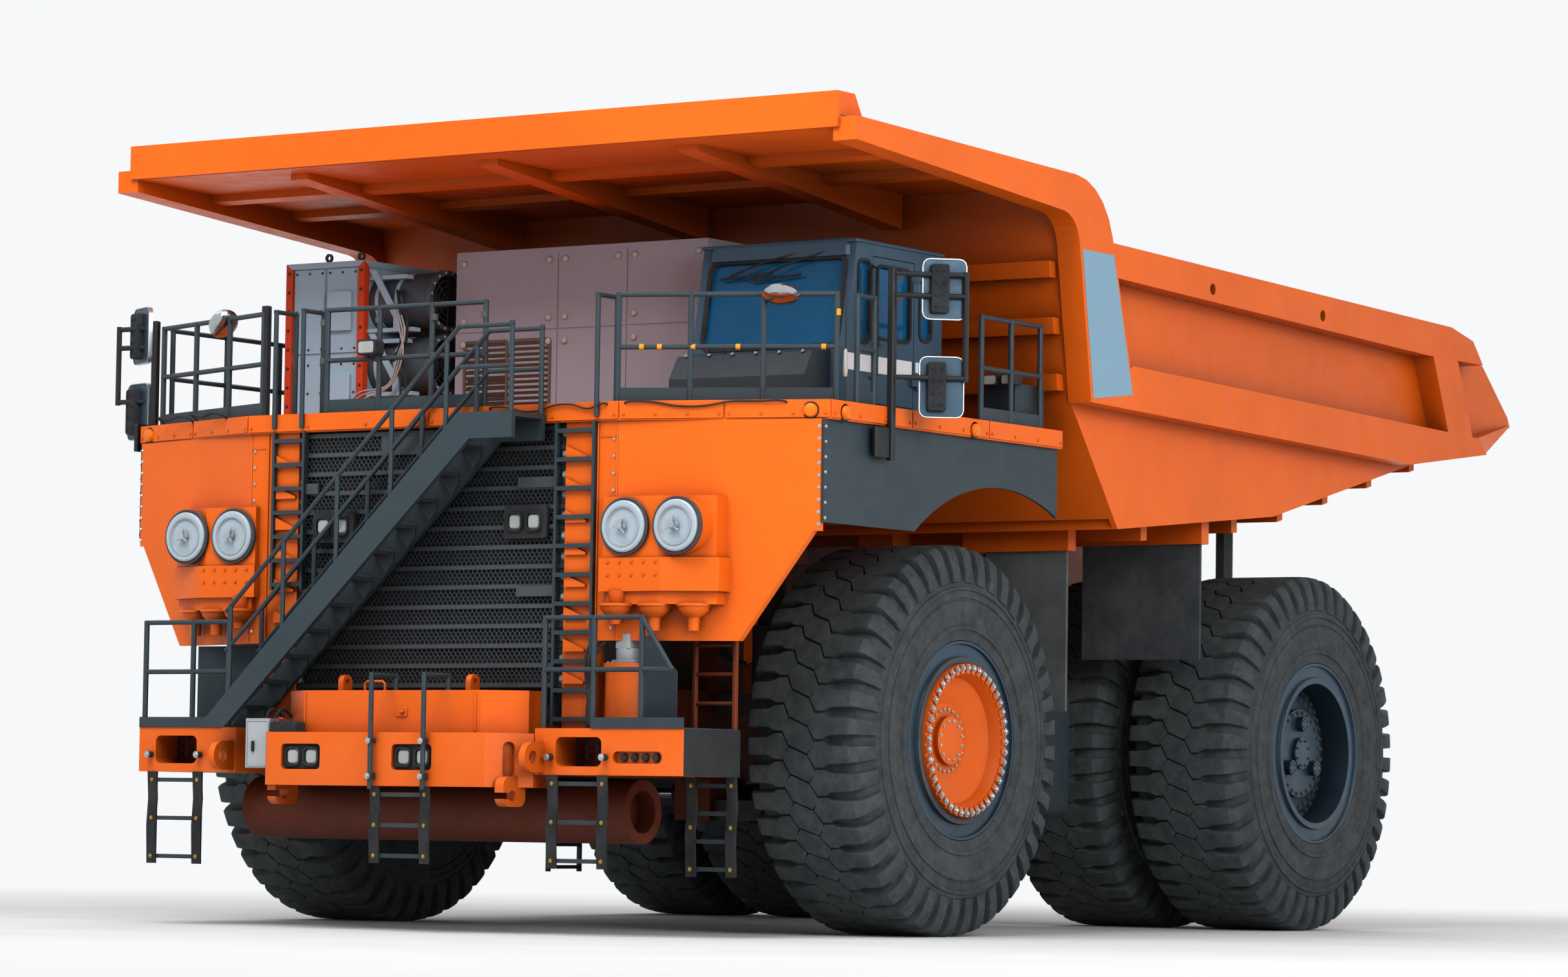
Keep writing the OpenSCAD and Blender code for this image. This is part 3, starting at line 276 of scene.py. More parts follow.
def smooth(mesh, crease):
    """Smooth faces, with a sharp edge where two meet at more than crease degrees."""
    mesh.polygons.foreach_set("use_smooth", [True] * len(mesh.polygons))
    mesh.set_sharp_from_angle(angle=math.radians(crease))


def finish_nodes():
    for mat, names in FINISH.items():
        for name in names.split():
            mesh = NODES[name].data
            mesh.materials.clear()
            mesh.materials.append(mat)
            smooth(mesh, 50 if name == "handrails" else 40)


finish_nodes()


# Mesh building

def at(x, y, z):
    """Point given from the front axle's station."""
    return Vector((AXLE_X + x, y, z))


def facing(origin, normal, up=UP):
    """Placement whose local x runs right and y up on a face, with z out of it."""
    out = Vector(normal).normalized()
    right = Vector(up).cross(out).normalized()
    return Matrix.Translation(origin) @ Matrix((right, out.cross(right), out)).transposed().to_4x4()


def ahead(x, y, z):
    """Placement on a face that looks forward."""
    return facing(at(x, y, z), FORWARD)


def flat(x, y, z):
    """Placement on a level face, with local x forward and y to the left."""
    return facing(at(x, y, z), UP, (0, 1, 0))


def spot(place, x, y, z=0.0):
    """Placement moved along its own axes."""
    return place @ Matrix.Translation((x, y, z))


def placed(place, outline, z):
    return [place @ Vector((x, y, z)) for x, y in outline]


def ngon(n, r, turn=0.0, stretch=1.0):
    angles = [turn + math.tau * i / n for i in range(n)]
    return [(r * math.cos(a), r * stretch * math.sin(a)) for a in angles]


def rounded(w, h, r, steps=3):
    """Outline of a rectangle about its middle, with round corners."""
    out = []
    for k, (sx, sy) in enumerate(((1, -1), (1, 1), (-1, 1), (-1, -1))):
        for i in range(steps + 1):
            a = math.radians(-90 + 90 * k + 90 * i / steps)
            out.append((sx * (w / 2 - r) + r * math.cos(a), sy * (h / 2 - r) + r * math.sin(a)))
    return out


# Pieces in the order they are started, made into objects when all are shaped
PIECES = []


class Shape:
    """One piece: finish, body and the CAD nodes it replaces, with its faces in the shared frame."""

    def __init__(self, name, mat, body="chassis", replaces=(), crease=35, padding=None):
        self.name, self.mat, self.body = name, mat, body
        self.replaces, self.crease, self.padding = replaces, crease, padding
        self.verts, self.faces = [], []
        PIECES.append(self)

    def add(self, verts, faces):
        start = len(self.verts)
        self.verts += [tuple(v) for v in verts]
        self.faces += [tuple(start + i for i in face) for face in faces]

    def loft(self, rings, caps=True):
        """Faces from ring to ring of corners, with the first and last ring closed."""
        n = len(rings[0])
        faces = []
        for k in range(len(rings) - 1):
            for i in range(n):
                j = (i + 1) % n
                faces.append((k * n + i, k * n + j, (k + 1) * n + j, (k + 1) * n + i))
        if caps:
            faces.append(tuple(reversed(range(n))))
            faces.append(tuple((len(rings) - 1) * n + i for i in range(n)))
        self.add([p for ring in rings for p in ring], faces)

    def prism(self, place, outline, low, high, bevel=0.0):
        """Outline raised from low to high along the face's normal, its top edge chamfered."""
        middle = sum((Vector(p) for p in outline), Vector((0, 0))) / len(outline)
        arms = [Vector(p) - middle for p in outline]
        rings = [placed(place, outline, low), placed(place, outline, high - bevel)]
        if bevel:
            inner = [middle + arm * (1 - bevel / max(1e-6, arm.length)) for arm in arms]
            rings.append(placed(place, inner, high))
        self.loft(rings)

    def gasket(self, place, size, r, wide, low, high):
        """Frame round a rounded rectangle, open in the middle."""
        w, h = size
        outer = rounded(w + 2 * wide, h + 2 * wide, r + wide)
        inner = rounded(w, h, r)
        rings = [(outer, low), (outer, high), (inner, high), (inner, low), (outer, low)]
        self.loft([placed(place, line, z) for line, z in rings], caps=False)

    def slab(self, lo, hi, bevel):
        """Chamfered block between two corners, given from the front axle's station."""
        lo, hi = Vector(lo), Vector(hi)
        size = hi - lo
        outline = rounded(size.x, size.y, min(bevel, size.x / 3, size.y / 3), 1)
        self.prism(flat(*(lo + hi) / 2), outline, -size.z / 2, size.z / 2, min(bevel, size.z / 3))

    def turned(self, place, profile, n, caps=True):
        """Profile of (radius, height) turned about the face's normal."""
        self.loft([placed(place, ngon(n, r), z) for r, z in profile], caps)

    def bolt(self, place, r, tall=0.014):
        """Six-sided head on a washer."""
        self.prism(place, ngon(12, r * 1.5), 0.0, tall * 0.3)
        self.prism(place, ngon(6, r), tall * 0.3, tall, tall * 0.2)

    def pipe(self, points, r, n=10):
        """Round tube through points, with mitred joints."""
        points = [Vector(p) for p in points]
        rings = []
        side = None
        for i, p in enumerate(points):
            a = points[max(0, i - 1)]
            b = points[min(len(points) - 1, i + 1)]
            along = (b - a).normalized()
            if side is None:
                side = along.orthogonal().normalized()
            side = (side - along * side.dot(along)).normalized()
            over = along.cross(side)
            rings.append([p + side * r * c + over * r * s for c, s in ngon(n, 1.0)])
        self.loft(rings)

    def hose(self, r, *points):
        """Smooth tube through points, given from the front axle's station."""
        self.pipe(curve([at(*p) for p in points]), r)

    def done(self):
        mesh = bpy.data.meshes.new(self.name)
        mesh.from_pydata(self.verts, [], self.faces)
        mesh.validate()
        mesh.materials.append(self.mat)
        smooth(mesh, self.crease)
        mesh.update()
        obj = bpy.data.objects.new(self.name, mesh)
        bpy.context.collection.objects.link(obj)
        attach(obj, self.body)
        if self.replaces:
            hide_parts(*self.replaces)


def curve(points, steps=6):
    """Smooth run through a few points."""
    points = [Vector(p) for p in points]
    ends = [2 * points[0] - points[1]] + points + [2 * points[-1] - points[-2]]
    out = []
    for k in range(1, len(ends) - 2):
        p0, p1, p2, p3 = ends[k - 1:k + 3]
        for i in range(steps):
            t = i / steps
            out.append(0.5 * (2 * p1 + (p2 - p0) * t + (2 * p0 - 5 * p1 + 4 * p2 - p3) * t * t
                              + (3 * p1 - p0 - 3 * p2 + p3) * t ** 3))
    return out + [points[-1]]


# Tyres

TYRE_R = AXLE_Z
TYRE_HW = 0.5 * (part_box("front_tyre_left")[1][1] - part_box("front_tyre_left")[0][1])
LUGS = 44
# Carcass half profile, radius and distance from the tyre's middle
SIDEWALL = [(0.80, 0.585), (0.958, 0.603), (0.963, 0.648), (1.0, 0.655), (1.06, 0.658), (1.066, 0.676),
            (1.10, 0.678), (1.106, 0.662), (1.28, TYRE_HW), (1.34, 0.678), (1.345, 0.664), (1.365, 0.663),
            (1.37, 0.675), (1.44, 0.664), (1.446, 0.682), (1.474, 0.678), (1.48, 0.656), (1.51, 0.65),
            (1.53, 0.628), (1.60, 0.608), (1.68, 0.585), (1.74, 0.555), (1.775, 0.5), (1.79, 0.30),
            (1.835, 0.25), (1.84, 0.0)]
# Shoulder lug from inside to outside: place across, start and end in pitches, drop below the tyre's radius
SHOULDER_LUG = [(0.112, 0.49, 0.51, 0.0), (0.188, 0.025, 0.975, 0.0), (0.27, 0.03, 0.97, 0.0),
                (0.335, 0.16, 0.84, 0.0), (0.50, 0.185, 0.815, 0.002), (0.555, 0.19, 0.81, 0.012),
                (0.598, 0.2, 0.8, 0.055), (0.625, 0.2, 0.8, 0.12), (0.656, 0.22, 0.78, 0.24)]
# Middle block from side to side, in the same way
MIDDLE_BLOCK = [(-0.18, -0.02, 0.02, 0.0), (-0.1, -0.475, 0.475, 0.0), (0.0, -0.475, 0.475, 0.0),
                (0.1, -0.475, 0.475, 0.0), (0.18, -0.02, 0.02, 0.0)]
# Shift of the tread's rows round the tyre, in pitches for each metre across
SLANT = -1.5
LUG_EDGE = 0.03
MIDDLE_FLOOR = 1.8


def shoulder_floor(a):
    """Radius where a shoulder lug ends in the tyre, deeper past the tread's edge."""
    return 1.76 if a < 0.5 else 1.52


def on_tyre(centre, u, a, r):
    angle = math.tau * u / LUGS
    return Vector((centre[0] + r * math.cos(angle), centre[1] + a, centre[2] + r * math.sin(angle)))


def lug(shape, centre, stations, side, at_u, floor, slant):
    """Block through stations of (across, start, end, drop), with chamfered upper edges."""
    rings = []
    for a, u0, u1, drop in stations:
        top = TYRE_R - drop
        low = min(floor(a), top - 0.02)
        shift = at_u + slant * a * side
        edge_u = min(LUG_EDGE, (u1 - u0) / 4)
        across = [(u0, low), (u0 + edge_u * 0.3, top - 0.012), (u0 + edge_u, top), ((u0 + u1) / 2, top),
                  (u1 - edge_u, top), (u1 - edge_u * 0.3, top - 0.012), (u1, low)]
        rings.append([on_tyre(centre, u + shift, a * side, r) for u, r in across])
    shape.loft(rings if side > 0 else rings[::-1])


def tyre(shape, centre):
    profile = [(r, -a) for r, a in SIDEWALL] + [(r, a) for r, a in reversed(SIDEWALL[:-1])]
    n = LUGS * 3
    rings = [[on_tyre(centre, LUGS * i / n, a, r) for i in range(n)] for r, a in profile]
    shape.loft(rings, caps=False)
    for k in range(LUGS):
        lug(shape, centre, MIDDLE_BLOCK, 1, k, lambda a: MIDDLE_FLOOR, SLANT)
        for side in (1, -1):
            lug(shape, centre, SHOULDER_LUG, side, k + side * SLANT * 0.1, shoulder_floor, 0.0)


def add_tyres(side):
    front = Shape(f"front_tread_{side}", TYRE, f"front_wheel_{side}", [f"front_tyre_{side}"], 30)
    lo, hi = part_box(f"front_tyre_{side}")
    tyre(front, (AXLE_X, 0.5 * (lo[1] + hi[1]), AXLE_Z))
    rear = Shape(f"rear_treads_{side}", TYRE, f"rear_wheels_{side}", [f"rear_tyres_{side}"], 30)
    lo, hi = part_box(f"rear_tyres_{side}")
    for y in (lo[1] + TYRE_HW, hi[1] - TYRE_HW):
        tyre(rear, (REAR_X, y, AXLE_Z))


# Fastenings shared by several pieces

def bolt_line(shape, start, end, count, normal, r):
    for i in range(count):
        shape.bolt(facing(start.lerp(end, i / (count - 1)), normal), r)


def bolt_ring(shape, place, radius, count, r, tall=0.016):
    for x, y in ngon(count, radius, math.pi / count):
        shape.bolt(spot(place, x, y), r, tall)


def washer(shape, place, r0, r1, low, high, n=64):
    """Flat ring between two radii."""
    shape.turned(place, [(r0, low), (r1, low), (r1, high), (r0, high), (r0, low)], n, caps=False)


def tint(node, mat, lo, hi):
    """Gives another finish to the faces of a CAD node whose middles lie between two corners."""
    mesh = NODES[node].data
    mesh.materials.append(mat)
    index = len(mesh.materials) - 1
    lo, hi = at(*lo), at(*hi)
    world = NODES[node].matrix_world
    for face in mesh.polygons:
        mid = world @ face.center
        if all(lo[i] <= mid[i] <= hi[i] for i in range(3)):
            face.material_index = index


# Wheel fastenings

FRONT_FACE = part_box("front_hub_left")[1][1]
REAR_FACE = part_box("rear_wheel_left")[1][1]
CLEATS = 44
CLEAT_R = 0.698
# Rings of bolts on a rear hub: distance below the rim's face, radius, count and head
REAR_RINGS = [(0.315, 0.7, 40, 0.02), (0.265, 0.575, 30, 0.018), (0.195, 0.43, 24, 0.015),
              (0.155, 0.14, 8, 0.011)]
BOSS_RING = 0.31
# Inner and outer radius of the ring over the rim's edge
LOCK_RING = (0.742, 0.8)


def add_front_fastenings(side, body):
    face = facing(Vector((AXLE_X, side * FRONT_FACE, AXLE_Z)), (0, side, 0))
    bolts = Shape(f"{body}_bolts", BOLT, body)
    rings = Shape(f"{body}_lock_ring", CAST, body)
    for k in range(CLEATS):
        bolts.bolt(spot(face @ Matrix.Rotation(math.tau * k / CLEATS, 4, "Z"), CLEAT_R, 0), 0.022, 0.028)
    bolt_ring(bolts, spot(face, 0, 0, -0.188), 0.19, 12, 0.012)
    bolt_ring(bolts, spot(face, 0, 0, -0.244), 0.3, 24, 0.012, 0.02)
    washer(rings, spot(face, 0, 0, -0.063), *LOCK_RING, -0.01, 0.012)


def add_rear_fastenings(side, body):
    face = facing(Vector((REAR_X, side * REAR_FACE, AXLE_Z)), (0, side, 0))
    bolts = Shape(f"{body}_bolts", CAST, body)
    rings = Shape(f"{body}_step_ring", RIM, body)
    for below, radius, count, r in REAR_RINGS:
        bolt_ring(bolts, spot(face, 0, 0, -below), radius, count, r, 0.022)
    for x, y in ngon(3, BOSS_RING, math.radians(-30 if side > 0 else 210)):
        bolt_ring(bolts, spot(face, x, y, -0.125), 0.055, 6, 0.009, 0.01)
    washer(rings, spot(face, 0, 0, -0.01), *LOCK_RING, -0.01, 0.016)


for word, sign in (("left", 1), ("right", -1)):
    add_tyres(word)
    add_front_fastenings(sign, f"front_wheel_{word}")
    add_rear_fastenings(sign, f"rear_wheels_{word}")


# Radiator grille

GRILLE = [Vector(p) - at(0, 0, 0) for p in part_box("radiator_grille")]
GRILLE_STRIPS = 13
HOLE_ROWS = 4
HOLE_PITCH = 0.053
BORDER = 0.05
BAR = 0.04
BLANK_STRIP = 12


def hole_cell(shape, place, w, h):
    """Rectangle of plate with an oval hole through it."""
    corners = ((1, 0), (1, 1), (0, 1), (-1, 1), (-1, 0), (-1, -1), (0, -1), (1, -1))
    edge = [(x * w / 2, y * h / 2) for x, y in corners]
    hole = ngon(8, 0.45 * w, 0.0, 0.84)
    rings = [(edge, 0.0), (hole, 0.0), (hole, -0.012)]
    shape.loft([placed(place, line, z) for line, z in rings], caps=False)


def add_grille():
    plate = Shape("perforated_grille", MESH, replaces=["radiator_grille"])
    (rear, _, low), (front, half, high) = GRILLE
    x = front - 0.012
    strip = (high - low - 2 * BAR) / GRILLE_STRIPS
    row = (strip - BAR) / HOLE_ROWS
    columns = int(2 * (half - BORDER) / HOLE_PITCH)
    pitch = 2 * (half - BORDER) / columns
    for i in range(GRILLE_STRIPS + 1):
        z = low + BAR / 2 + i * strip
        plate.slab((x - 0.02, -half, z), (front, half, z + BAR), 0.008)
    for i in range(GRILLE_STRIPS):
        for j in range(HOLE_ROWS):
            z = low + 1.5 * BAR + i * strip + (j + 0.5) * row
            for k in range(columns - j % 2):
                y = -half + BORDER + (k + 0.5 + 0.5 * (j % 2)) * pitch
                hole_cell(plate, ahead(x, y, z), pitch, row)
    blank_z = low + 1.5 * BAR + BLANK_STRIP * strip
    plate.slab((x - 0.02, -0.62, blank_z - 0.01), (x + 0.006, 0.6, blank_z + strip - 0.03), 0.004)
    for y in (-half, half - BORDER - pitch / 2):
        plate.slab((x - 0.02, y, low), (x, y + BORDER + pitch / 2, high), 0.004)
    # Near-black sheet at the back of the grille: painted shade behind the holes
    back = Shape("grille_shade_sheet", TRIM)
    back.slab((rear, -half, low), (rear + 0.006, half, high), 0.002)
    bolts = Shape("grille_bolts", PALE)
    for y in (-half + 0.03, half - 0.03):
        bolt_line(bolts, at(x, y, low + 0.1), at(x, y, high - 0.1), 13, FORWARD, 0.022)


add_grille()


# Lamps

BUMPER_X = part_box("bumper")[1][0] - AXLE_X
BUMPER_LAMPS = (-0.885, 0.44)
POD_LAMPS = (-1.15, 1.15)
# Amber lamps on the deck's edge, with the way they face
AMBER_LAMPS = [((2.78, 3.97, 4.85), (0.95, 0.31, 0)), ((2.5, 4.15, 4.84), (0, 1, 0)),
               ((0.23, 4.15, 4.84), (0, 1, 0)), ((2.78, -3.97, 4.85), (0.95, -0.31, 0)),
               ((0.23, -4.15, 4.84), (0, -1, 0))]
LAMP = 0.15


def twin_lamps(bezel, lens, place, wide, tall):
    """Black housing with two square lamps in deep frames."""
    bezel.prism(place, rounded(wide, tall, 0.03), -0.02, 0.04, 0.008)
    for x in (-0.11, 0.11):
        lamp = spot(place, x, 0, 0.04)
        bezel.gasket(lamp, (LAMP, LAMP), 0.04, 0.016, -0.01, 0.026)
        lens.prism(lamp, rounded(LAMP, LAMP, 0.04), -0.01, 0.016, 0.022)
        bolt_ring(bezel, lamp, 0.115, 4, 0.008, 0.008)


def add_lamps():
    bezel = Shape("lamp_housings", TRIM)
    lens = Shape("lamp_lenses", LENS, replaces=["lamps"])
    amber = Shape("amber_lamps", AMBER)
    for y in BUMPER_LAMPS:
        twin_lamps(bezel, lens, ahead(BUMPER_X - 0.075, y, 1.63), 0.46, 0.23)
    for y in POD_LAMPS:
        twin_lamps(bezel, lens, ahead(PANEL_X - 0.015, y, 3.85), 0.5, 0.32)
    for place, normal in AMBER_LAMPS:
        mount = facing(at(*place), normal)
        washer(bezel, mount, 0.02, 0.082, -0.01, 0.014, 24)
        amber.turned(mount, [(0.066, 0.0), (0.066, 0.03), (0.056, 0.05), (0.03, 0.06), (0.004, 0.062)], 20)


add_lamps()


# Bumper and platforms

PLATFORM_X = 3.69
PLATFORM_Z = 1.91


def peg(pins, bolts, end, long, r, head, tall):
    """Round pin that ends at a placement, with a bolt on its end."""
    pins.pipe([end @ Vector((0, 0, -long)), end.translation], r)
    bolts.bolt(end, head, tall)


def add_bumper_parts():
    dark = Shape("tread_plates", DARK)
    orange = Shape("bumper_fittings", ORANGE)
    bolts = Shape("bumper_bolts", BOLT)
    trim = Shape("bumper_bushes", TRIM)
    for y0, y1 in ((2.2, 3.24), (-3.24, -2.2)):
        dark.slab((2.8, y0, PLATFORM_Z), (PLATFORM_X + 0.012, y1, PLATFORM_Z + 0.008), 0.003)
        dark.slab((PLATFORM_X, y0, PLATFORM_Z), (PLATFORM_X + 0.012, y1, PLATFORM_Z + 0.1), 0.003)
        for i in range(9):
            for k in range(11):
                cleat = flat(2.86 + 0.095 * i, y0 + 0.06 + 0.092 * k, PLATFORM_Z + 0.008)
                turn = Matrix.Rotation(math.radians(45 if (i + k) % 2 else -45), 4, "Z")
                dark.prism(cleat @ turn, ngon(6, 0.03, 0.0, 0.35), -0.002, 0.004)
    for y in (2.06, -2.77):
        step = ahead(PLATFORM_X - 0.3, y, 1.695)
        for i in range(4):
            for j in range(3):
                hole_cell(dark, spot(step, -0.18 + 0.12 * i, -0.08 + 0.08 * j), 0.12, 0.08)
        for x in (-0.31, 0.31):
            peg(trim, bolts, spot(step, x, -0.05, 0.37), 0.08, 0.03, 0.022, 0.016)
    for i in range(4):
        plug = ahead(PLATFORM_X - 0.05, 2.55 + 0.12 * i, 1.645)
        trim.turned(plug, [(0.04, 0), (0.035, 0.03), (0.004, 0.036)], 16)
    handle = [(-0.52, 2.25), (-0.52, 2.33), (-0.49, 2.35), (-0.31, 2.35), (-0.28, 2.33), (-0.28, 2.25)]
    orange.pipe([at(3.6, y, z) for y, z in handle], 0.014)
    latch = ahead(3.85, 0.12, 2.06)
    orange.prism(latch, rounded(0.14, 0.1, 0.02), 0, 0.012, 0.004)
    orange.prism(spot(latch, 0.02, 0.0, 0.012), rounded(0.05, 0.03, 0.01), 0, 0.03, 0.006)
    for y in (-1.05, 0.98):
        orange.slab((3.84, y, 1.88), (3.862, y + 0.02, 2.24), 0.003)
    for y in (0.0, 0.62):
        for z in (1.45, 1.78):
            peg(trim, bolts, ahead(4.2, y, z), 0.1, 0.024, 0.02, 0.014)
    # Outer side of the left platform tinted black: painted shade of the recess beside it
    tint("bumper", BLACK, (2.6, 3.2, 1.4), (3.66, 3.4, 2.0))


def add_switch_box():
    tint("equipment_boxes", BOXGREY, (3.6, -1.7, 1.5), (4.1, -1.3, 2.0))
    grey = Shape("switch_box_door", BOXGREY)
    dark = Shape("switch_box_fittings", TRIM)
    red = Shape("stop_button", RED)
    front = ahead(4.0, -1.495, 1.755)
    grey.gasket(front, (0.25, 0.42), 0.01, 0.012, -0.004, 0.006)
    dark.prism(spot(front, -0.05, -0.03), rounded(0.025, 0.1, 0.008), 0, 0.022, 0.005)
    dark.slab((3.86, -1.33, 1.86), (4.03, -1.02, 1.96), 0.012)
    button = [(0.02, 0), (0.02, 0.02), (0.034, 0.022), (0.03, 0.04), (0.003, 0.044)]
    red.turned(flat(3.95, -1.25, 1.96), button, 16)
    for y in (-1.56, -1.44):
        dark.hose(0.016, (3.8, y, 1.98), (3.78, y + 0.02, 2.06), (3.7, y + 0.03, 2.08), (3.6, y + 0.05, 2.0))


def add_lube_pump():
    """Pump and hoses of the grease canister, and the screen beside them."""
    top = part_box("lube_tank")[1][2]
    grey = Shape("grease_pump", BOXGREY)
    hoses = Shape("grease_hoses", TRIM)
    shield = Shape("pump_screen", DARK)
    outline = [(2.47, 1.92), (2.88, 1.92), (2.88, 2.44), (2.55, 2.77), (2.47, 2.77)]
    shield.prism(ahead(3.3, 0, 0), outline, -0.012, 0)
    up = flat(3.21, 2.26, top - 0.14)
    grey.turned(up, [(0.15, 0), (0.15, 0.03), (0.11, 0.035), (0.11, 0.14)], 28)
    grey.prism(spot(up, 0, 0, 0.14), rounded(0.2, 0.17, 0.03), -0.002, 0.15, 0.02)
    grey.turned(spot(up, 0, 0, 0.29), [(0.06, -0.005), (0.06, 0.03), (0.03, 0.045), (0.004, 0.05)], 20)
    bolt_ring(grey, up, 0.185, 12, 0.012)
    for k in range(3):
        y = 2.08 - 0.05 * k
        hoses.hose(0.014, (3.25, 2.17, top + 0.02), (3.3, y, top + 0.06 + 0.03 * k),
                   (3.38, y - 0.08, top - 0.1), (3.36, 1.92, top - 0.5), (3.36, 1.9, top - 0.85))


add_bumper_parts()
add_switch_box()
add_lube_pump()


# Front panels and deck edge

DECK_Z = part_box("deck")[1][2]
DECK_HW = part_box("deck")[1][1]
FOLD = Vector((3.36, 2.22))
CORNER = Vector((2.72, DECK_HW))
STRIP = 0.165
PANEL_TOP = 4.76
CLEANER_X = 3.41
CLEANER_Y = (2.34, 2.93)
CLEANER_Z = 3.78


def edge_run(sign):
    """Corners of the deck's edge from the middle of the front to the rear end of one side."""
    corners = ((FOLD.x, 0), FOLD, CORNER, (-1.42, CORNER.y))
    return [at(x, sign * y, 0) for x, y in corners]


def tucked(run):
    """Smooth run of wiring whose two ends go into the deck."""
    inward = Vector((-0.1, 0, -0.05))
    return curve([run[0] + inward] + run + [run[-1] + inward])


def add_deck_edge():
    strips = Shape("deck_edge_strips", ORANGE)
    bolts = Shape("deck_edge_bolts", ORANGE)
    hoses = Shape("deck_edge_hoses", TRIM)
    for sign in (1, -1):
        run = edge_run(sign)
        for k, pieces in enumerate((1, 2, 3)):
            a, b = run[k], run[k + 1]
            out = Vector(UP).cross(b - a).normalized() * -sign
            for i in range(pieces):
                p, q = a.lerp(b, i / pieces), a.lerp(b, (i + 1) / pieces)
                gap = (q - p).normalized() * 0.008
                mid = (p + q) / 2 + Vector((0, 0, DECK_Z - STRIP / 2))
                outline = rounded((q - p - 2 * gap).length, STRIP, 0.006, 1)
                strips.prism(facing(mid, out), outline, -0.004, 0.014, 0.005)
                low = Vector((0, 0, DECK_Z - STRIP + 0.04)) + out * 0.014
                bolt_line(bolts, p + gap * 6 + low, q - gap * 6 + low, 4, out, 0.011)
    wave = [(3.4, 0.75 + 0.19 * i, -0.065 if i in (2, 3, 6) else -0.02) for i in range(8)]
    sag = [(3.367 - 0.0792 * i, 2.3 + 0.24 * i, -0.055 if i in (2, 3) else -0.015) for i in range(7)]
    runs = [(0.009, wave), (0.009, sag)]
    for y in (-2.6, -3.2):
        x = 3.42 + 0.33 * (y + 2.22)
        runs.append((0.012, [(x - 0.0165 * i, y - 0.15 * i, 0.02 + 0.03 * (i % 2)) for i in range(4)]))
    for r, run in runs:
        hoses.pipe(tucked([at(x, y, DECK_Z + z) for x, y, z in run]), r)


def add_panel_parts():
    seams = Shape("panel_seams", ORANGE)
    bolts = Shape("panel_bolts", BOLT)
    gussets = Shape("post_gussets", ORANGE)
    for sign in (1, -1):
        out = Vector((0.96, sign * 0.28, 0))
        y = sign * 2.19
        seams.slab((PANEL_X, y - 0.006, 2.75), (PANEL_X + 0.007, y + 0.006, PANEL_TOP), 0.002)
        y = sign * 2.1
        seams.slab((PANEL_X - 0.005, y - 0.1, 4.62), (PANEL_X + 0.007, y + 0.08, 4.628), 0.002)
        y = sign * 1.975
        seams.slab((PANEL_X + 0.002, y - 0.008, 2.0), (PANEL_X + 0.015, y + 0.008, PANEL_TOP), 0.003)
        for x, y, low, high, count, normal, r in ((PANEL_X + 0.002, 2.15, 2.85, 4.6, 12, FORWARD, 0.011),
                                                  (2.782, 4.068, 3.8, 4.7, 9, out, 0.012),
                                                  (2.745, 4.112, 3.86, 4.7, 7, (0, sign, 0), 0.011)):
            bolt_line(bolts, at(x, sign * y, low), at(x, sign * y, high), count, normal, r)
        for i in range(8):
            post = ahead(PANEL_X, sign * 1.74, 2.35 + 0.3 * i)
            gussets.prism(post, [(-0.12, -0.02), (0.12, -0.02), (0.12, 0.0), (-0.12, 0.1)], 0, 0.03)


# Dust bowls under the air cleaners, on a plate: station, side and length of the spout
BOWLS = [(3.4, 2.25, 0.06), (3.3, 2.62, 0.12), (3.19, 2.98, 0.12)]
BOWL_PLATE = [(3.0, 2.12), (3.38, 2.12), (3.38, 2.74), (3.17, 3.22), (3.0, 3.22)]
BOWL_Z = 3.06
SPOKE = [(0.0, -0.014), (0.075, -0.009), (0.085, 0.0), (0.075, 0.009), (0.0, 0.014)]


def add_cleaner_parts():
    clamp = Shape("cover_clamps", CAST)
    handle = Shape("cover_handles", BOLT)
    bolts = Shape("cleaner_bolts", ORANGE)
    bowls = Shape("dust_bowls", ORANGE)
    for sign in (1, -1):
        bowls.prism(flat(0, 0, BOWL_Z), [(x, sign * y) for x, y in BOWL_PLATE][::sign], 0, 0.13)
        for x, y, spout in BOWLS:
            down = facing(at(x, sign * y, BOWL_Z + 0.002), (0, 0, -1), (0, 1, 0))
            bowls.turned(down, [(0.165, -0.005), (0.165, 0.018), (0.15, 0.022), (0.14, 0.06), (0.1, 0.1),
                                (0.058, 0.125), (0.052, 0.125 + spout), (0.004, 0.128 + spout)], 28)
        for y in CLEANER_Y:
            face = ahead(CLEANER_X, sign * y, CLEANER_Z)
            washer(clamp, face, 0.252, 0.268, -0.03, 0.014)
            boss = spot(face, 0, 0, 0.065)
            handle.turned(boss, [(0.03, -0.01), (0.03, 0.03), (0.004, 0.034)], 16)
            for k in range(3):
                arm = boss @ Matrix.Rotation(math.tau * k / 3 + 0.5 * y, 4, "Z")
                handle.prism(arm, SPOKE, 0.008, 0.026, 0.004)
            washer(handle, spot(face, 0, 0, 0.04), 0.178, 0.19, -0.002, 0.006)
        for z in (3.33, 3.45):
            start, end = [at(CLEANER_X + 0.01, sign * y, z) for y in (2.16, 2.7)]
            bolt_line(bolts, start, end, 5, FORWARD, 0.012)


add_deck_edge()
add_panel_parts()
add_cleaner_parts()


# Cab

CAB_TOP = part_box("cab_shell")[1][2]
CAB_SILL = DECK_Z + 0.62
CAB_LEFT = 3.46
CAB_NOSE = 1.45
CAB_RAKE = 0.19
SCREEN_OUT = Vector((CAB_TOP - CAB_SILL, 0, CAB_RAKE)).normalized()
# Windscreen: side and height of its middle, width and height
SCREEN_Y, SCREEN_Z, SCREEN_W, SCREEN_H = 2.59, 6.02, 1.52, 0.82
# Side windows: body that carries them, range along x and range of heights
SIDE_WINDOWS = [("chassis", 1.03, 1.22, 5.65, 6.41), ("chassis", -0.06, 0.13, 5.75, 6.3),
                ("cab_side_door", 0.32, 0.89, 5.71, 6.38)]
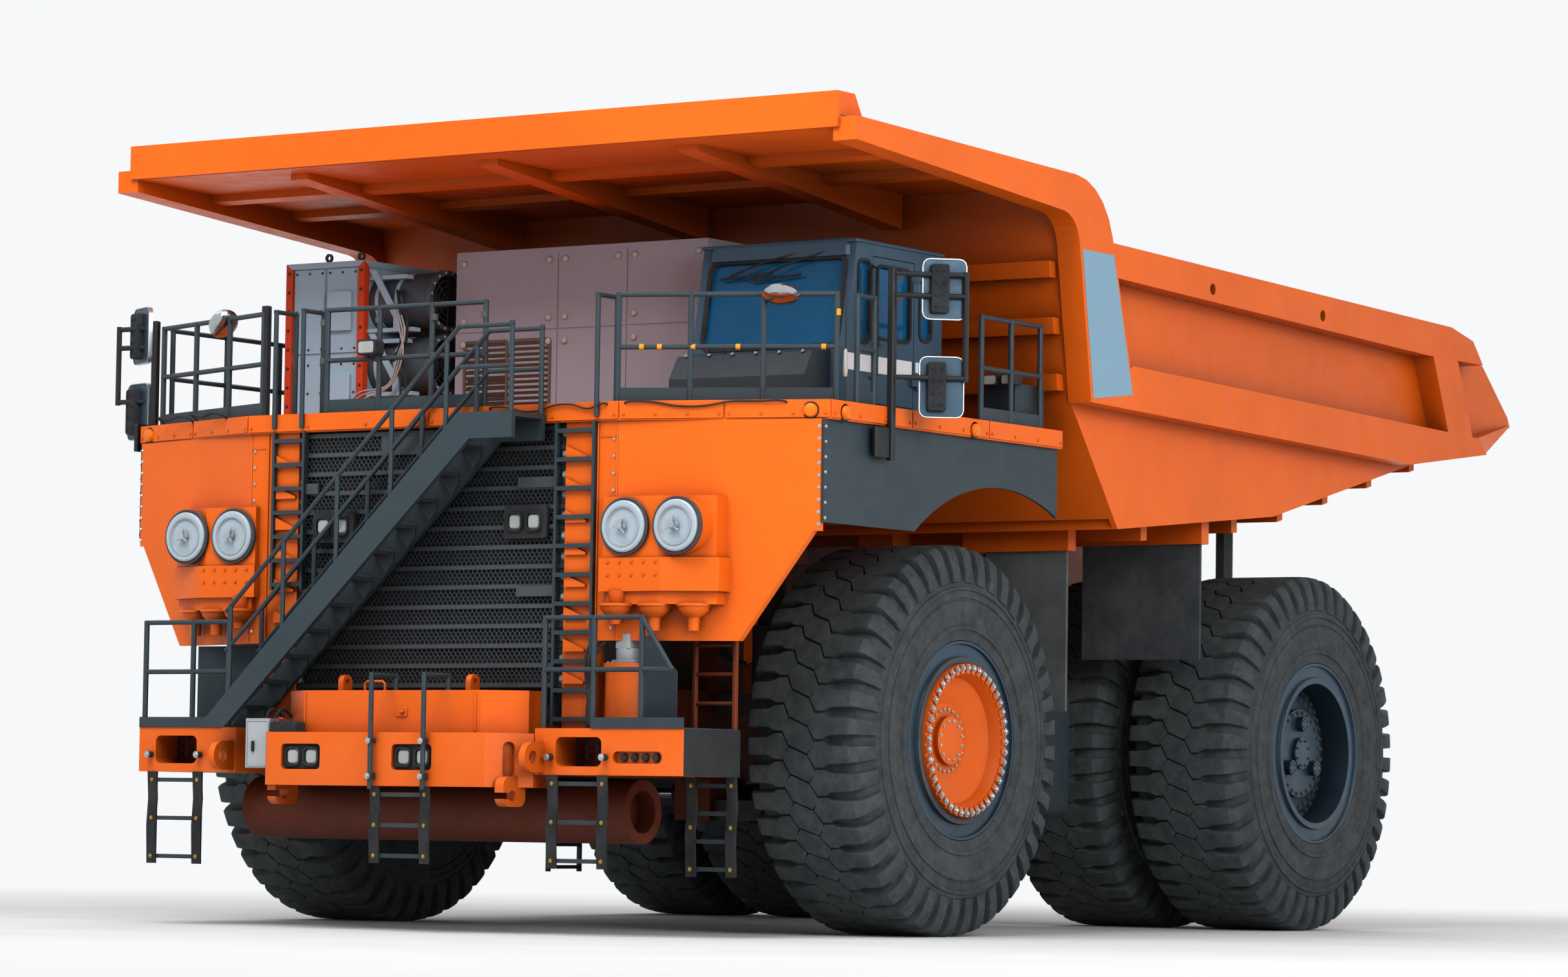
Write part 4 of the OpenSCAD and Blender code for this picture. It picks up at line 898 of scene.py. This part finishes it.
# Wipers: side and height of the pivot, then of the arm's tip
WIPERS = [(2.83, 6.5, 2.05, 6.3), (3.15, 6.5, 2.38, 6.27)]
AERIAL = (2.26, 4.0)


def screen(y, z, out=0.0):
    """Point on the raked windscreen's face."""
    x = CAB_NOSE - (z - CAB_SILL) * CAB_RAKE / (CAB_TOP - CAB_SILL)
    return at(x, y, z) + SCREEN_OUT * out


def add_cab_parts():
    bodies = ("chassis", "cab_side_door")
    seals = {body: Shape(f"window_seals_{body}", TRIM, body) for body in bodies}
    stripe = {body: Shape(f"cab_stripe_{body}", PALESTRIPE, body) for body in bodies}
    windscreen = facing(screen(SCREEN_Y, SCREEN_Z), SCREEN_OUT)
    seals["chassis"].gasket(windscreen, (SCREEN_W, SCREEN_H / SCREEN_OUT.x), 0.07, 0.04, -0.03, 0.014)
    for body, x0, x1, z0, z1 in SIDE_WINDOWS:
        middle = at((x0 + x1) / 2, CAB_LEFT, (z0 + z1) / 2)
        seals[body].gasket(facing(middle, (0, 1, 0)), (x1 - x0, z1 - z0), 0.06, 0.028, -0.03, 0.012)
    for body, x0, x1 in (("chassis", 0.99, 1.42), ("cab_side_door", 0.27, 0.95), ("chassis", -0.25, 0.2)):
        low = 5.36 if x0 > 0.2 else 5.42
        stripe[body].slab((x0, CAB_LEFT - 0.004, low), (x1, CAB_LEFT + 0.003, 5.52), 0.001)
    trim = seals["chassis"]
    for y0, z0, y1, z1 in WIPERS:
        trim.turned(facing(screen(y0, z0), SCREEN_OUT), [(0.035, -0.01), (0.03, 0.03), (0.005, 0.035)], 14)
        elbow = screen((y0 + y1) / 2, (z0 + z1) / 2 + 0.02, 0.045)
        trim.pipe([screen(y0, z0, 0.03), elbow, screen(y1, z1, 0.03)], 0.011)
        trim.pipe([screen(y1 - 0.1, z1 - 0.02, 0.022), screen(y1 + 0.5, z1 + 0.02, 0.022)], 0.013)
    grip = ((3.46, 5.3), (3.53, 5.33), (3.53, 6.35), (3.46, 6.38))
    trim.pipe([at(1.0, y, z) for y, z in grip], 0.016)
    trim.pipe([at(*AERIAL, DECK_Z), at(*AERIAL, 6.1)], 0.006)
    roof = Shape("cab_roof_panels", CAB)
    roof.slab((-0.29, 1.68, CAB_TOP - 0.012), (1.285, 3.48, CAB_TOP + 0.02), 0.012)
    roof.slab((0.1, 2.1, CAB_TOP + 0.015), (0.8, 3.0, CAB_TOP + 0.1), 0.03)
    roof.slab((1.2, 1.8, 6.46), (1.32, 3.4, 6.585), 0.03)
    white = Shape("aerial_base", PALE)
    white.turned(flat(*AERIAL, 5.2), [(0.016, 0), (0.024, 0.05), (0.018, 0.24), (0.006, 0.26)], 16)
    bolts = Shape("cab_box_bolts", PALE)
    bolt_line(bolts, at(1.775, 1.86, 5.51), at(1.775, 3.2, 5.51), 6, (0.6, 0, 0.8), 0.012)
    for y in (2.15, 2.75):
        handle = ((1.66, -0.09, 5.52), (1.69, -0.09, 5.58), (1.69, 0.09, 5.58), (1.66, 0.09, 5.52))
        trim.pipe([at(x, y + d, z) for x, d, z in handle], 0.01)


# Driver's seat

SEAT_Y = 2.58
# Pads: height over the pad's underside and how far the outline draws in there
PAD = [(0.0, 0.03), (0.03, 0.0), (0.1, -0.01), (0.15, 0.012), (0.172, 0.07), (0.182, 0.14), (0.185, 0.2)]


def add_pad(name, place, wide, tall, thick):
    """Crowned pad with piping round its upper edge."""
    pad = Shape(name, SEAT, padding=0.7)
    piping = Shape(f"{name}_piping", TRIM)
    rings = []
    for z, inset in PAD:
        line = rounded(wide - 2 * inset, tall - 2 * inset, max(0.09 - inset * 0.3, 0.03))
        rings.append(placed(place, line, z * thick / PAD[-1][0]))
    pad.loft(rings)
    piping.pipe(rings[3] + rings[3][:1], 0.007, 6)


add_pad("seat_cushion", flat(0.22, SEAT_Y, 5.285), 0.58, 0.58, 0.19)
add_pad("seat_back", facing(at(-0.1, SEAT_Y, 5.8), (0.991, 0, 0.132)), 0.54, 0.78, 0.15)


# Cabinet, grid box and blowers

CABINET_X = 0.9
CABINET_Y = (-1.59, -0.327, 0.52, 1.49)
CABINET_SEAM = 5.94
KNOB = [(0.034, 0.0), (0.034, 0.012), (0.026, 0.02), (0.012, 0.022), (0.003, 0.022)]
CABINET_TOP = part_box("control_cabinet")[1][2]
GRID_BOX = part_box("grid_box")
GRID_X = (-0.3, 1.2)
GRID_POST = 0.085
BLOWER_X = 0.815
BLOWER_Z = (5.64, 6.29)
BLOWER_ARM = [(-0.24, 0.3), (-0.16, 0.3), (0.16, -0.18), (0.16, -0.3), (0.08, -0.3), (0.08, -0.2)]
BLOWER_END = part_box("grid_blowers")[1][1]


def add_cabinet_parts():
    knobs = Shape("cabinet_knobs", PALE)
    louvres = Shape("cabinet_louvres", LOUVRE)
    for y0, y1 in zip(CABINET_Y, CABINET_Y[1:]):
        for z0, z1 in ((DECK_Z + 0.05, CABINET_SEAM), (CABINET_SEAM, CABINET_TOP)):
            for y in (y0 + 0.1, y1 - 0.1):
                for z in (z0 + 0.12, z1 - 0.12):
                    knobs.turned(ahead(CABINET_X, y, z), KNOB, 18)
    for y0, y1 in ((-1.45, -0.95), (-0.85, -0.42)):
        middle = ahead(CABINET_X, (y0 + y1) / 2, 5.5)
        louvres.gasket(middle, (y1 - y0, 0.66), 0.01, 0.03, -0.002, 0.012)
        for i in range(12):
            slat = facing(at(CABINET_X, (y0 + y1) / 2, 5.2 + 0.055 * i), (0.9, 0, -0.45))
            louvres.prism(slat, rounded(y1 - y0, 0.05, 0.004, 1), -0.002, 0.004)


def add_grid_parts():
    back, front = GRID_X
    (_, right, _), (_, left, top) = GRID_BOX
    for x0, x1 in ((front - GRID_POST, front + 0.01), (back - 0.01, back + GRID_POST)):
        for y0, y1 in ((right - 0.01, right + GRID_POST), (left - GRID_POST, left + 0.01)):
            tint("grid_box", GRIDPOST, (x0, y0, DECK_Z - 0.1), (x1, y1, top + 0.1))
    bolts = Shape("grid_box_bolts", CAST)
    boxes = Shape("grid_box_covers", GRID)
    for y in (right + 0.1, right + 0.53):
        for z0, z1 in ((DECK_Z + 0.09, 5.7), (5.78, 6.64)):
            for z in (z0 + 0.04, (z0 + z1) / 2, z1 - 0.04):
                bolt_line(bolts, at(1.18, y + 0.03, z), at(1.18, y + 0.36, z), 3, FORWARD, 0.009)
    for y in (right + 0.04, left - 0.04):
        bolt_line(bolts, at(front, y, DECK_Z + 0.1), at(front, y, top - 0.1), 9, FORWARD, 0.012)
    for z in (5.36, 6.2):
        boxes.slab((1.18, right + 0.56, z - 0.2), (1.23, right + 0.86, z + 0.2), 0.01)
    for y in (right + 0.52, left - 0.08):
        washer(bolts, ahead(1.15, y, top + 0.045), 0.022, 0.045, -0.012, 0.012, 20)


def add_blower_parts():
    guards = Shape("blower_guards", TRIM)
    brackets = Shape("blower_brackets", GRID)
    hoses = Shape("blower_hoses", TRIM)
    for z in BLOWER_Z:
        end = facing(at(BLOWER_X, BLOWER_END, z), (0, 1, 0))
        for r in (0.09, 0.15, 0.21, 0.262):
            washer(guards, end, r - 0.005, r + 0.005, -0.02, -0.008, 32)
        for k in range(4):
            guards.pipe(placed(end, ngon(2, 0.27, math.pi * k / 4), -0.014), 0.006, 6)
        bolt_ring(brackets, end, 0.288, 16, 0.009, 0.01)
        for y in (-2.45, -2.2):
            washer(brackets, facing(at(BLOWER_X, y, z), (0, 1, 0)), 0.288, 0.298, -0.02, 0.02, 40)
        brackets.prism(ahead(1.13, -2.28, z + 0.02), BLOWER_ARM, 0, 0.014)
        brackets.slab((1.0, -2.54, z + 0.22), (1.12, -2.06, z + 0.26), 0.004)
        brackets.slab((1.0, -2.54, z - 0.32), (1.14, -1.96, z - 0.28), 0.004)
        for k in range(2):
            y = -2.02 - 0.07 * k
            hoses.hose(0.014, (1.1, y - 0.1, z + 0.1), (1.2, y, z - 0.02), (1.22, y + 0.06, z - 0.25),
                       (1.16, y - 0.02, z - 0.5), (1.1, y - 0.2, z - 0.62))
    cables = Shape("blower_cables", PALE)
    for k in range(3):
        cables.hose(0.009, (1.2, -2.14 + 0.02 * k, 6.24), (1.26, -2.02 + 0.03 * k, 5.95),
                    (1.26, -1.98 - 0.03 * k, 5.72), (1.24, -2.14 - 0.02 * k, 5.42),
                    (1.24, -2.45 - 0.04 * k, 5.3 + 0.03 * k), (1.22, -2.68, 5.24))


add_cab_parts()
add_cabinet_parts()
add_grid_parts()
add_blower_parts()


# Mirrors, rails and ladders

RAIL_TOP = DECK_Z + 1.0
RAIL_MID = 5.46
RAIL_X = 3.3
FLOOD_Y = -0.72
# Mirror stands: post from corner to corner, arm root, arm direction, arm length, arm heights
STANDS = [((1.72, 4.15, 4.45), (1.79, 4.22, 6.26), (1.755, 4.185), (-0.6855, 0.728), 0.7, (5.23, 6.0, 6.2)),
          ((2.45, -4.22, 4.68), (2.52, -4.15, 6.04), (2.485, -4.185), (0, -1), 0.49, (5.23, 5.78, 5.97))]
# Mirror heads: stand, reach along its arm, height, direction that the back faces
HEADS = [(0, 0.5, 6.07, 43), (0, 0.48, 5.15, 40), (1, 0.24, 5.9, -28), (1, 0.26, 5.13, -20)]


def add_mirrors():
    stand = Shape("mirror_stands", BLACK, replaces=["mirrors"])
    rims = Shape("mirror_rims", BOLT)
    backs = Shape("mirror_backs", RIM)
    faces = Shape("mirror_faces", MIRROR)
    clamps = Shape("mirror_clamps", TRIM)
    for low, high, root, along, length, arms in STANDS:
        stand.slab(low, high, 0.01)
        end = Vector(root) + Vector(along) * length
        turn = facing(at(*root, 0), Vector(along).to_3d().cross(Vector(UP)))
        reach = 0.13 if turn.col[0].to_3d().dot(Vector(along).to_3d()) > 0 else -0.13
        for z in arms:
            stand.pipe([at(*root, z), at(*end, z)], 0.026)
            gusset = [(0, z - 0.13), (reach, z - 0.01), (reach, z + 0.01), (0, z + 0.03)]
            stand.prism(turn, gusset, -0.014, 0.014)
        stand.pipe([at(*end, arms[0] - 0.03), at(*end, arms[-1] + 0.03)], 0.028)
        x, z = high[0], low[2]
        stand.slab((x, low[1] + 0.004, z + 0.02), (x + 0.24, high[1] - 0.02, z + 0.3), 0.01)
    for index, reach, z, degrees in HEADS:
        root, along = STANDS[index][2:4]
        turn = math.radians(degrees)
        middle = Vector(root) + Vector(along) * reach
        front = facing(at(*middle, z), (math.cos(turn), math.sin(turn), 0))
        backs.prism(front, rounded(0.42, 0.57, 0.07), -0.075, -0.035, 0.012)
        rims.gasket(spot(front, 0, 0, -0.055), (0.408, 0.558), 0.064, 0.009, -0.022, 0.024)
        faces.prism(spot(front, 0, 0, -0.08), rounded(0.39, 0.54, 0.06), 0, 0.006, 0.002)
        clamps.prism(spot(front, -0.05, 0, -0.035), rounded(0.17, 0.46, 0.02), 0, 0.07, 0.012)
        for i in range(8):
            clamps.bolt(spot(front, -0.09 + 0.08 * (i % 2), -0.17 + 0.113 * (i // 2), 0.035), 0.014, 0.012)


def add_rail_parts():
    tape = Shape("rail_tape", TAPE)
    trim = Shape("flood_lamps", TRIM)
    lens = Shape("flood_lenses", LENS)
    chrome = Shape("round_mirror", MIRROR)
    clamps = Shape("rail_clamps", CAST)
    start, end = at(RAIL_X, 2.12, 0), at(2.45, 4.06, 0)
    along = (end - start).normalized()
    bands = [(share, RAIL_MID, along * 0.022) for share in (0.12, 0.2, 0.35, 0.55, 0.93)]
    for share, z, step in bands + [(0.99, 5.78, Vector((0, 0, 0.03)))]:
        p = start.lerp(end, share) + Vector((0, 0, z))
        tape.pipe([p - step, p + step], 0.028, 12)
    left = facing(start.lerp(end, 0.74) + Vector((0.08, 0.04, RAIL_TOP - 0.02)), (0.35, 0.2, -0.85))
    right = facing(at(3.02, -2.85, RAIL_TOP - 0.04), (0.3, 0.75, -0.5))
    for disc, r, dome in ((left, 0.17, [(0.12, 0.04), (0.06, 0.054), (0.004, 0.058)]),
                          (right, 0.15, [(0.1, 0.04), (0.05, 0.05), (0.004, 0.054)])):
        chrome.turned(disc, [(r, -0.02), (r + 0.006, 0.0), (r, 0.012)] + dome, 32)
    trim.slab((3.24, -2.13, DECK_Z), (3.31, -2.05, RAIL_TOP + 0.08), 0.008)
    flood = ahead(3.42, FLOOD_Y, 5.56)
    trim.prism(flood, rounded(0.22, 0.15, 0.03), -0.12, 0.02, 0.01)
    lens.prism(spot(flood, 0, 0, 0.02), rounded(0.18, 0.11, 0.02), -0.01, 0.006, 0.004)
    trim.pipe([at(3.31, FLOOD_Y, RAIL_MID), at(3.34, FLOOD_Y, 5.5)], 0.025)
    for y in (-1.35, -0.68, 0.0, 0.6):
        for z in (RAIL_TOP - 0.12, RAIL_MID):
            clamps.pipe([at(RAIL_X, y, z - 0.03), at(RAIL_X, y, z + 0.03)], 0.034, 12)
    box = ahead(-0.74, 3.93, 5.3)
    for y in (-0.1, 0.1):
        trim.prism(spot(box, y, 0.1, 0.12), rounded(0.16, 0.11, 0.02), -0.1, 0.05, 0.01)
        lens.prism(spot(box, y, 0.1, 0.17), rounded(0.13, 0.085, 0.02), -0.01, 0.004, 0.003)
    for z in (4.22, 3.2):
        for y0, y1 in ((1.05, 1.53), (-1.52, -1.35)):
            clamps.slab((3.31, y0, z - 0.05), (3.345, y1, z + 0.05), 0.005)


# Stairway: first step's edge and the way from step to step, across and up, its sides, teeth and side plates
STEPS = 11
STAIR_FOOT = (-2.08, 2.125)
STEP = (0.255, 0.244)
STAIR_X = (3.46, 3.84)
TEETH = 16
TOOTH_PITCH = 0.0255
STEP_SIDE = [(-0.11, 0.0), (0.11, 0.0), (0.11, -0.07), (0.03, -0.17)]
# Hanging ladders: front, both sides, low and high end
HANGING = [(4.06, 0.0, 0.62, 0.66, 1.36), (3.66, 1.76, 2.36, 0.64, 1.48), (3.66, -3.07, -2.47, 0.61, 1.48),
           (2.82, 2.74, 3.22, 0.58, 1.48)]
# Fixed ladder above the last one: its stiles' sides, rungs and their pitch
STILES = (2.755, 3.205)
RUNGS = 6
RUNG_PITCH = 0.27


def add_stair_parts():
    teeth = Shape("stair_serrations", CAST)
    bolts = Shape("ladder_bolts", BRASS)
    for i in range(STEPS):
        y, z = STAIR_FOOT[0] + STEP[0] * i, STAIR_FOOT[1] + STEP[1] * i
        for k in range(TEETH):
            x = STAIR_X[0] + 0.01 + TOOTH_PITCH * k
            for edge in (0.012, 0.11, 0.218):
                teeth.slab((x, y + edge - 0.01, z - 0.006), (x + 0.014, y + edge + 0.01, z + 0.014), 0.003)
        for x in STAIR_X:
            teeth.prism(ahead(x, y + 0.115, z - 0.035), STEP_SIDE, 0, 0.012)
    straps = Shape("ladder_straps", TRIM)
    # Fixed ladder in the frame paint, darkened as painted shade under the deck
    rungs = Shape("inner_ladder", FRAME)
    for x, y0, y1, low, high in HANGING:
        for y in (y0 + 0.015, y1 - 0.015):
            sway = [(0.006, low - 0.02), (-0.012, high * 0.4 + low * 0.6), (0.012, high * 0.7 + low * 0.3),
                    (-0.01, high)]
            corners = ((0.024, -0.055), (0.044, -0.055), (0.044, 0.055), (0.024, 0.055))
            straps.loft([[at(x + a + d * 0.3, y + d + b, z) for a, b in corners] for d, z in sway])
            for i in range(3):
                z = low + 0.05 + i * (high - low - 0.13) / 2
                bolts.bolt(ahead(x + 0.044, y, z), 0.014, 0.016)
    for y in STILES:
        rungs.slab((2.8, y - 0.02, 1.5), (2.85, y + 0.02, 3.1), 0.006)
    for i in range(RUNGS):
        z = 1.62 + RUNG_PITCH * i
        rungs.pipe([at(2.825, STILES[0] - 0.005, z), at(2.825, STILES[1] + 0.005, z)], 0.018)


add_mirrors()
add_rail_parts()
add_stair_parts()


# Dump bed

RAIL_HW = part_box("bed_sides")[1][1]
POST_STRIPE = [(-2.28, 5.36), (-1.51, 5.27), (-1.27, 6.72), (-1.88, 6.72)]
# Tapered end of the lower side rail: its root and its tip
RAIL_END = [[(-10.0, RAIL_HW, 5.466), (-10.2, RAIL_HW, 5.303), (-10.2, 4.19, 5.303), (-10.0, 4.19, 5.466)],
            [(-11.28, 4.214, 5.705), (-11.3, 4.214, 5.69), (-11.3, 4.19, 5.69), (-11.28, 4.19, 5.705)]]
# Bed floor: a point on it and its slope to the rear
FLOOR_X, FLOOR_Z = -5.7, 4.45
FLOOR_SLOPE = 1.34 / 5.65


def add_bed_parts():
    stripe = Shape("post_stripes", STRIPE, "dump_bed")
    wear = Shape("bed_floor_seams", FRAME, "dump_bed")
    ends = Shape("side_rail_ends", ORANGE, "dump_bed")
    for sign in (1, -1):
        ends.loft([[at(x, sign * y, z) for x, y, z in corners] for corners in RAIL_END[::sign]])
        near, far = sorted((sign * 2.2, sign * 3.6))
        tint("bed_guards", PALEFLAP, (-2.8, near, 2.1), (-2.6, far, 3.95))
        side = facing(at(0, sign * RAIL_HW, 0), (0, sign, 0))
        stripe.prism(side, [(-sign * x, z) for x, z in POST_STRIPE][::-sign], -0.002, 0.003)
    for y in (-2.4, -0.8, 0.8, 2.4):
        start, end = [at(x, y, FLOOR_Z + (FLOOR_X - x) * FLOOR_SLOPE) for x in (-6.2, -11.2)]
        middle = facing((start + end) / 2, (FLOOR_SLOPE, 0, 1), (0, 1, 0))
        wear.prism(middle, rounded((end - start).length, 0.02, 0.004, 1), -0.006, 0.006)


# Hoses and rear lamps

TAIL_X = -8.62
TAIL_Z = 2.71
TAIL_LAMP = [(0.07, -0.01), (0.07, 0.02), (0.05, 0.034), (0.004, 0.038)]


def add_hoses():
    hoses = Shape("hoist_hoses", TRIM)
    lamps = Shape("tail_lamps", RED)
    brackets = Shape("tail_lamp_boxes", BLACK)
    for sign in (1, -1):
        for k in range(3):
            y = sign * (1.18 + 0.05 * k)
            hoses.hose(0.028, (-1.2, y, 2.2), (-1.7, y, 2.0 - 0.08 * k),
                       (-2.4, sign * 1.26, 1.78 - 0.05 * k), (-2.95, sign * 1.24, 1.62 - 0.04 * k))
        for k in range(2):
            hoses.hose(0.022, (0.26, sign * (1.2 + 0.06 * k), 2.9),
                       (0.34, sign * (1.36 + 0.05 * k), 2.7), (0.2, sign * (1.5 + 0.04 * k), 2.62))
        y = sign * 0.95
        brackets.slab((TAIL_X, y - 0.2, TAIL_Z - 0.09), (TAIL_X + 0.12, y + 0.2, TAIL_Z + 0.09), 0.01)
        for d in (-0.1, 0.1):
            lamps.turned(facing(at(TAIL_X, y + d, TAIL_Z), (-1, 0, 0)), TAIL_LAMP, 20)


add_bed_parts()
add_hoses()
for piece in PIECES:
    piece.done()


# Camera, light and floor

BACKDROP = (0.93, 0.94, 0.95, 1)
FLOOR_REACH = 90
# Distances between which the floor fades into the backdrop
FADE = (9, 20)
# Camera fitted to the photograph: its width and focal length in pixels, stand, turn, tilt and roll
PHOTO_W = 2426
FOCAL_PX = 7913.06
STAND = at(41.7515, 29.7942, 1.1105)
TURN, TILT, ROLL = math.radians(33.822), math.radians(-3.691), math.radians(0.825)


def add_camera():
    data = bpy.data.cameras.new("camera")
    data.sensor_width = 36
    data.lens = FOCAL_PX * data.sensor_width / PHOTO_W
    data.clip_end = 500
    back = (math.cos(TURN) * math.cos(TILT), math.sin(TURN) * math.cos(TILT), math.sin(TILT))
    cam = bpy.data.objects.new("camera", data)
    cam.matrix_world = facing(STAND, back) @ Matrix.Rotation(ROLL, 4, "Z")
    bpy.context.collection.objects.link(cam)
    bpy.context.scene.camera = cam


def add_area(name, place, aim, size, power):
    data = bpy.data.lights.new(name, "AREA")
    data.shape = "RECTANGLE"
    data.size, data.size_y = size
    data.energy = power
    lamp = bpy.data.objects.new(name, data)
    lamp.location = place
    lamp.rotation_euler = (Vector(aim) - Vector(place)).to_track_quat("-Z", "Y").to_euler()
    bpy.context.collection.objects.link(lamp)


def blend_seen(tree, lit, shown, share, output):
    """Shows another shader to rays that look at it directly, in a reflection or through glass."""
    path = tree.nodes.new("ShaderNodeLightPath").outputs
    mirrored = math_node(tree, "MAXIMUM", path["Is Glossy Ray"], path["Is Transmission Ray"])
    seen = math_node(tree, "MAXIMUM", path["Is Camera Ray"], mirrored)
    amount = math_node(tree, "MULTIPLY", share, seen)
    blend = new_node(tree, "MixShader", {0: amount, 1: lit.outputs[0], 2: shown.outputs[0]})
    tree.links.new(blend.outputs[0], tree.nodes[output].inputs["Surface"])


def add_world():
    world = bpy.data.worlds.new("studio")
    world.use_nodes = True
    bpy.context.scene.world = world
    tree = world.node_tree
    sky = fill(tree, tree.nodes["Background"], {"Color": (0.78, 0.84, 0.9, 1), "Strength": 0.55})
    view = new_node(tree, "Background", {"Color": BACKDROP, "Strength": 1.0})
    blend_seen(tree, sky, view, 1.0, "World Output")


def add_floor():
    mesh = bpy.data.meshes.new("floor")
    corners = ((-1, -1), (1, -1), (1, 1), (-1, 1))
    mesh.from_pydata([(x * FLOOR_REACH, y * FLOOR_REACH, 0) for x, y in corners], [], [(0, 1, 2, 3)])
    floor = bpy.data.objects.new("floor", mesh)
    bpy.context.collection.objects.link(floor)
    mat, tree, shader = nodes_of("pale_floor")
    tone = ramp(tree, noise(tree, 0.4, 8), (0.3, (0.6, 0.6, 0.6)), (0.7, (0.68, 0.68, 0.68)))
    fill(tree, shader, {"Base Color": tone, "Roughness": 0.9})
    reach = new_node(tree, "VectorMath", {0: place_of(tree)})
    reach.operation = "LENGTH"
    far = new_node(tree, "Emission", {"Color": BACKDROP})
    blend_seen(tree, shader, far, span(tree, reach.outputs["Value"], *FADE), "Material Output")
    mesh.materials.append(mat)


add_camera()
add_world()
add_floor()
add_area("key", (22, 2, 26), (0, 0, 3), (16, 16), 7600)
add_area("fill", (14, 26, 12), (0, 0, 3), (16, 12), 4200)
add_area("rim", (-24, -10, 22), (0, 0, 4), (14, 14), 3500)
bpy.context.scene.view_settings.view_transform = "Standard"
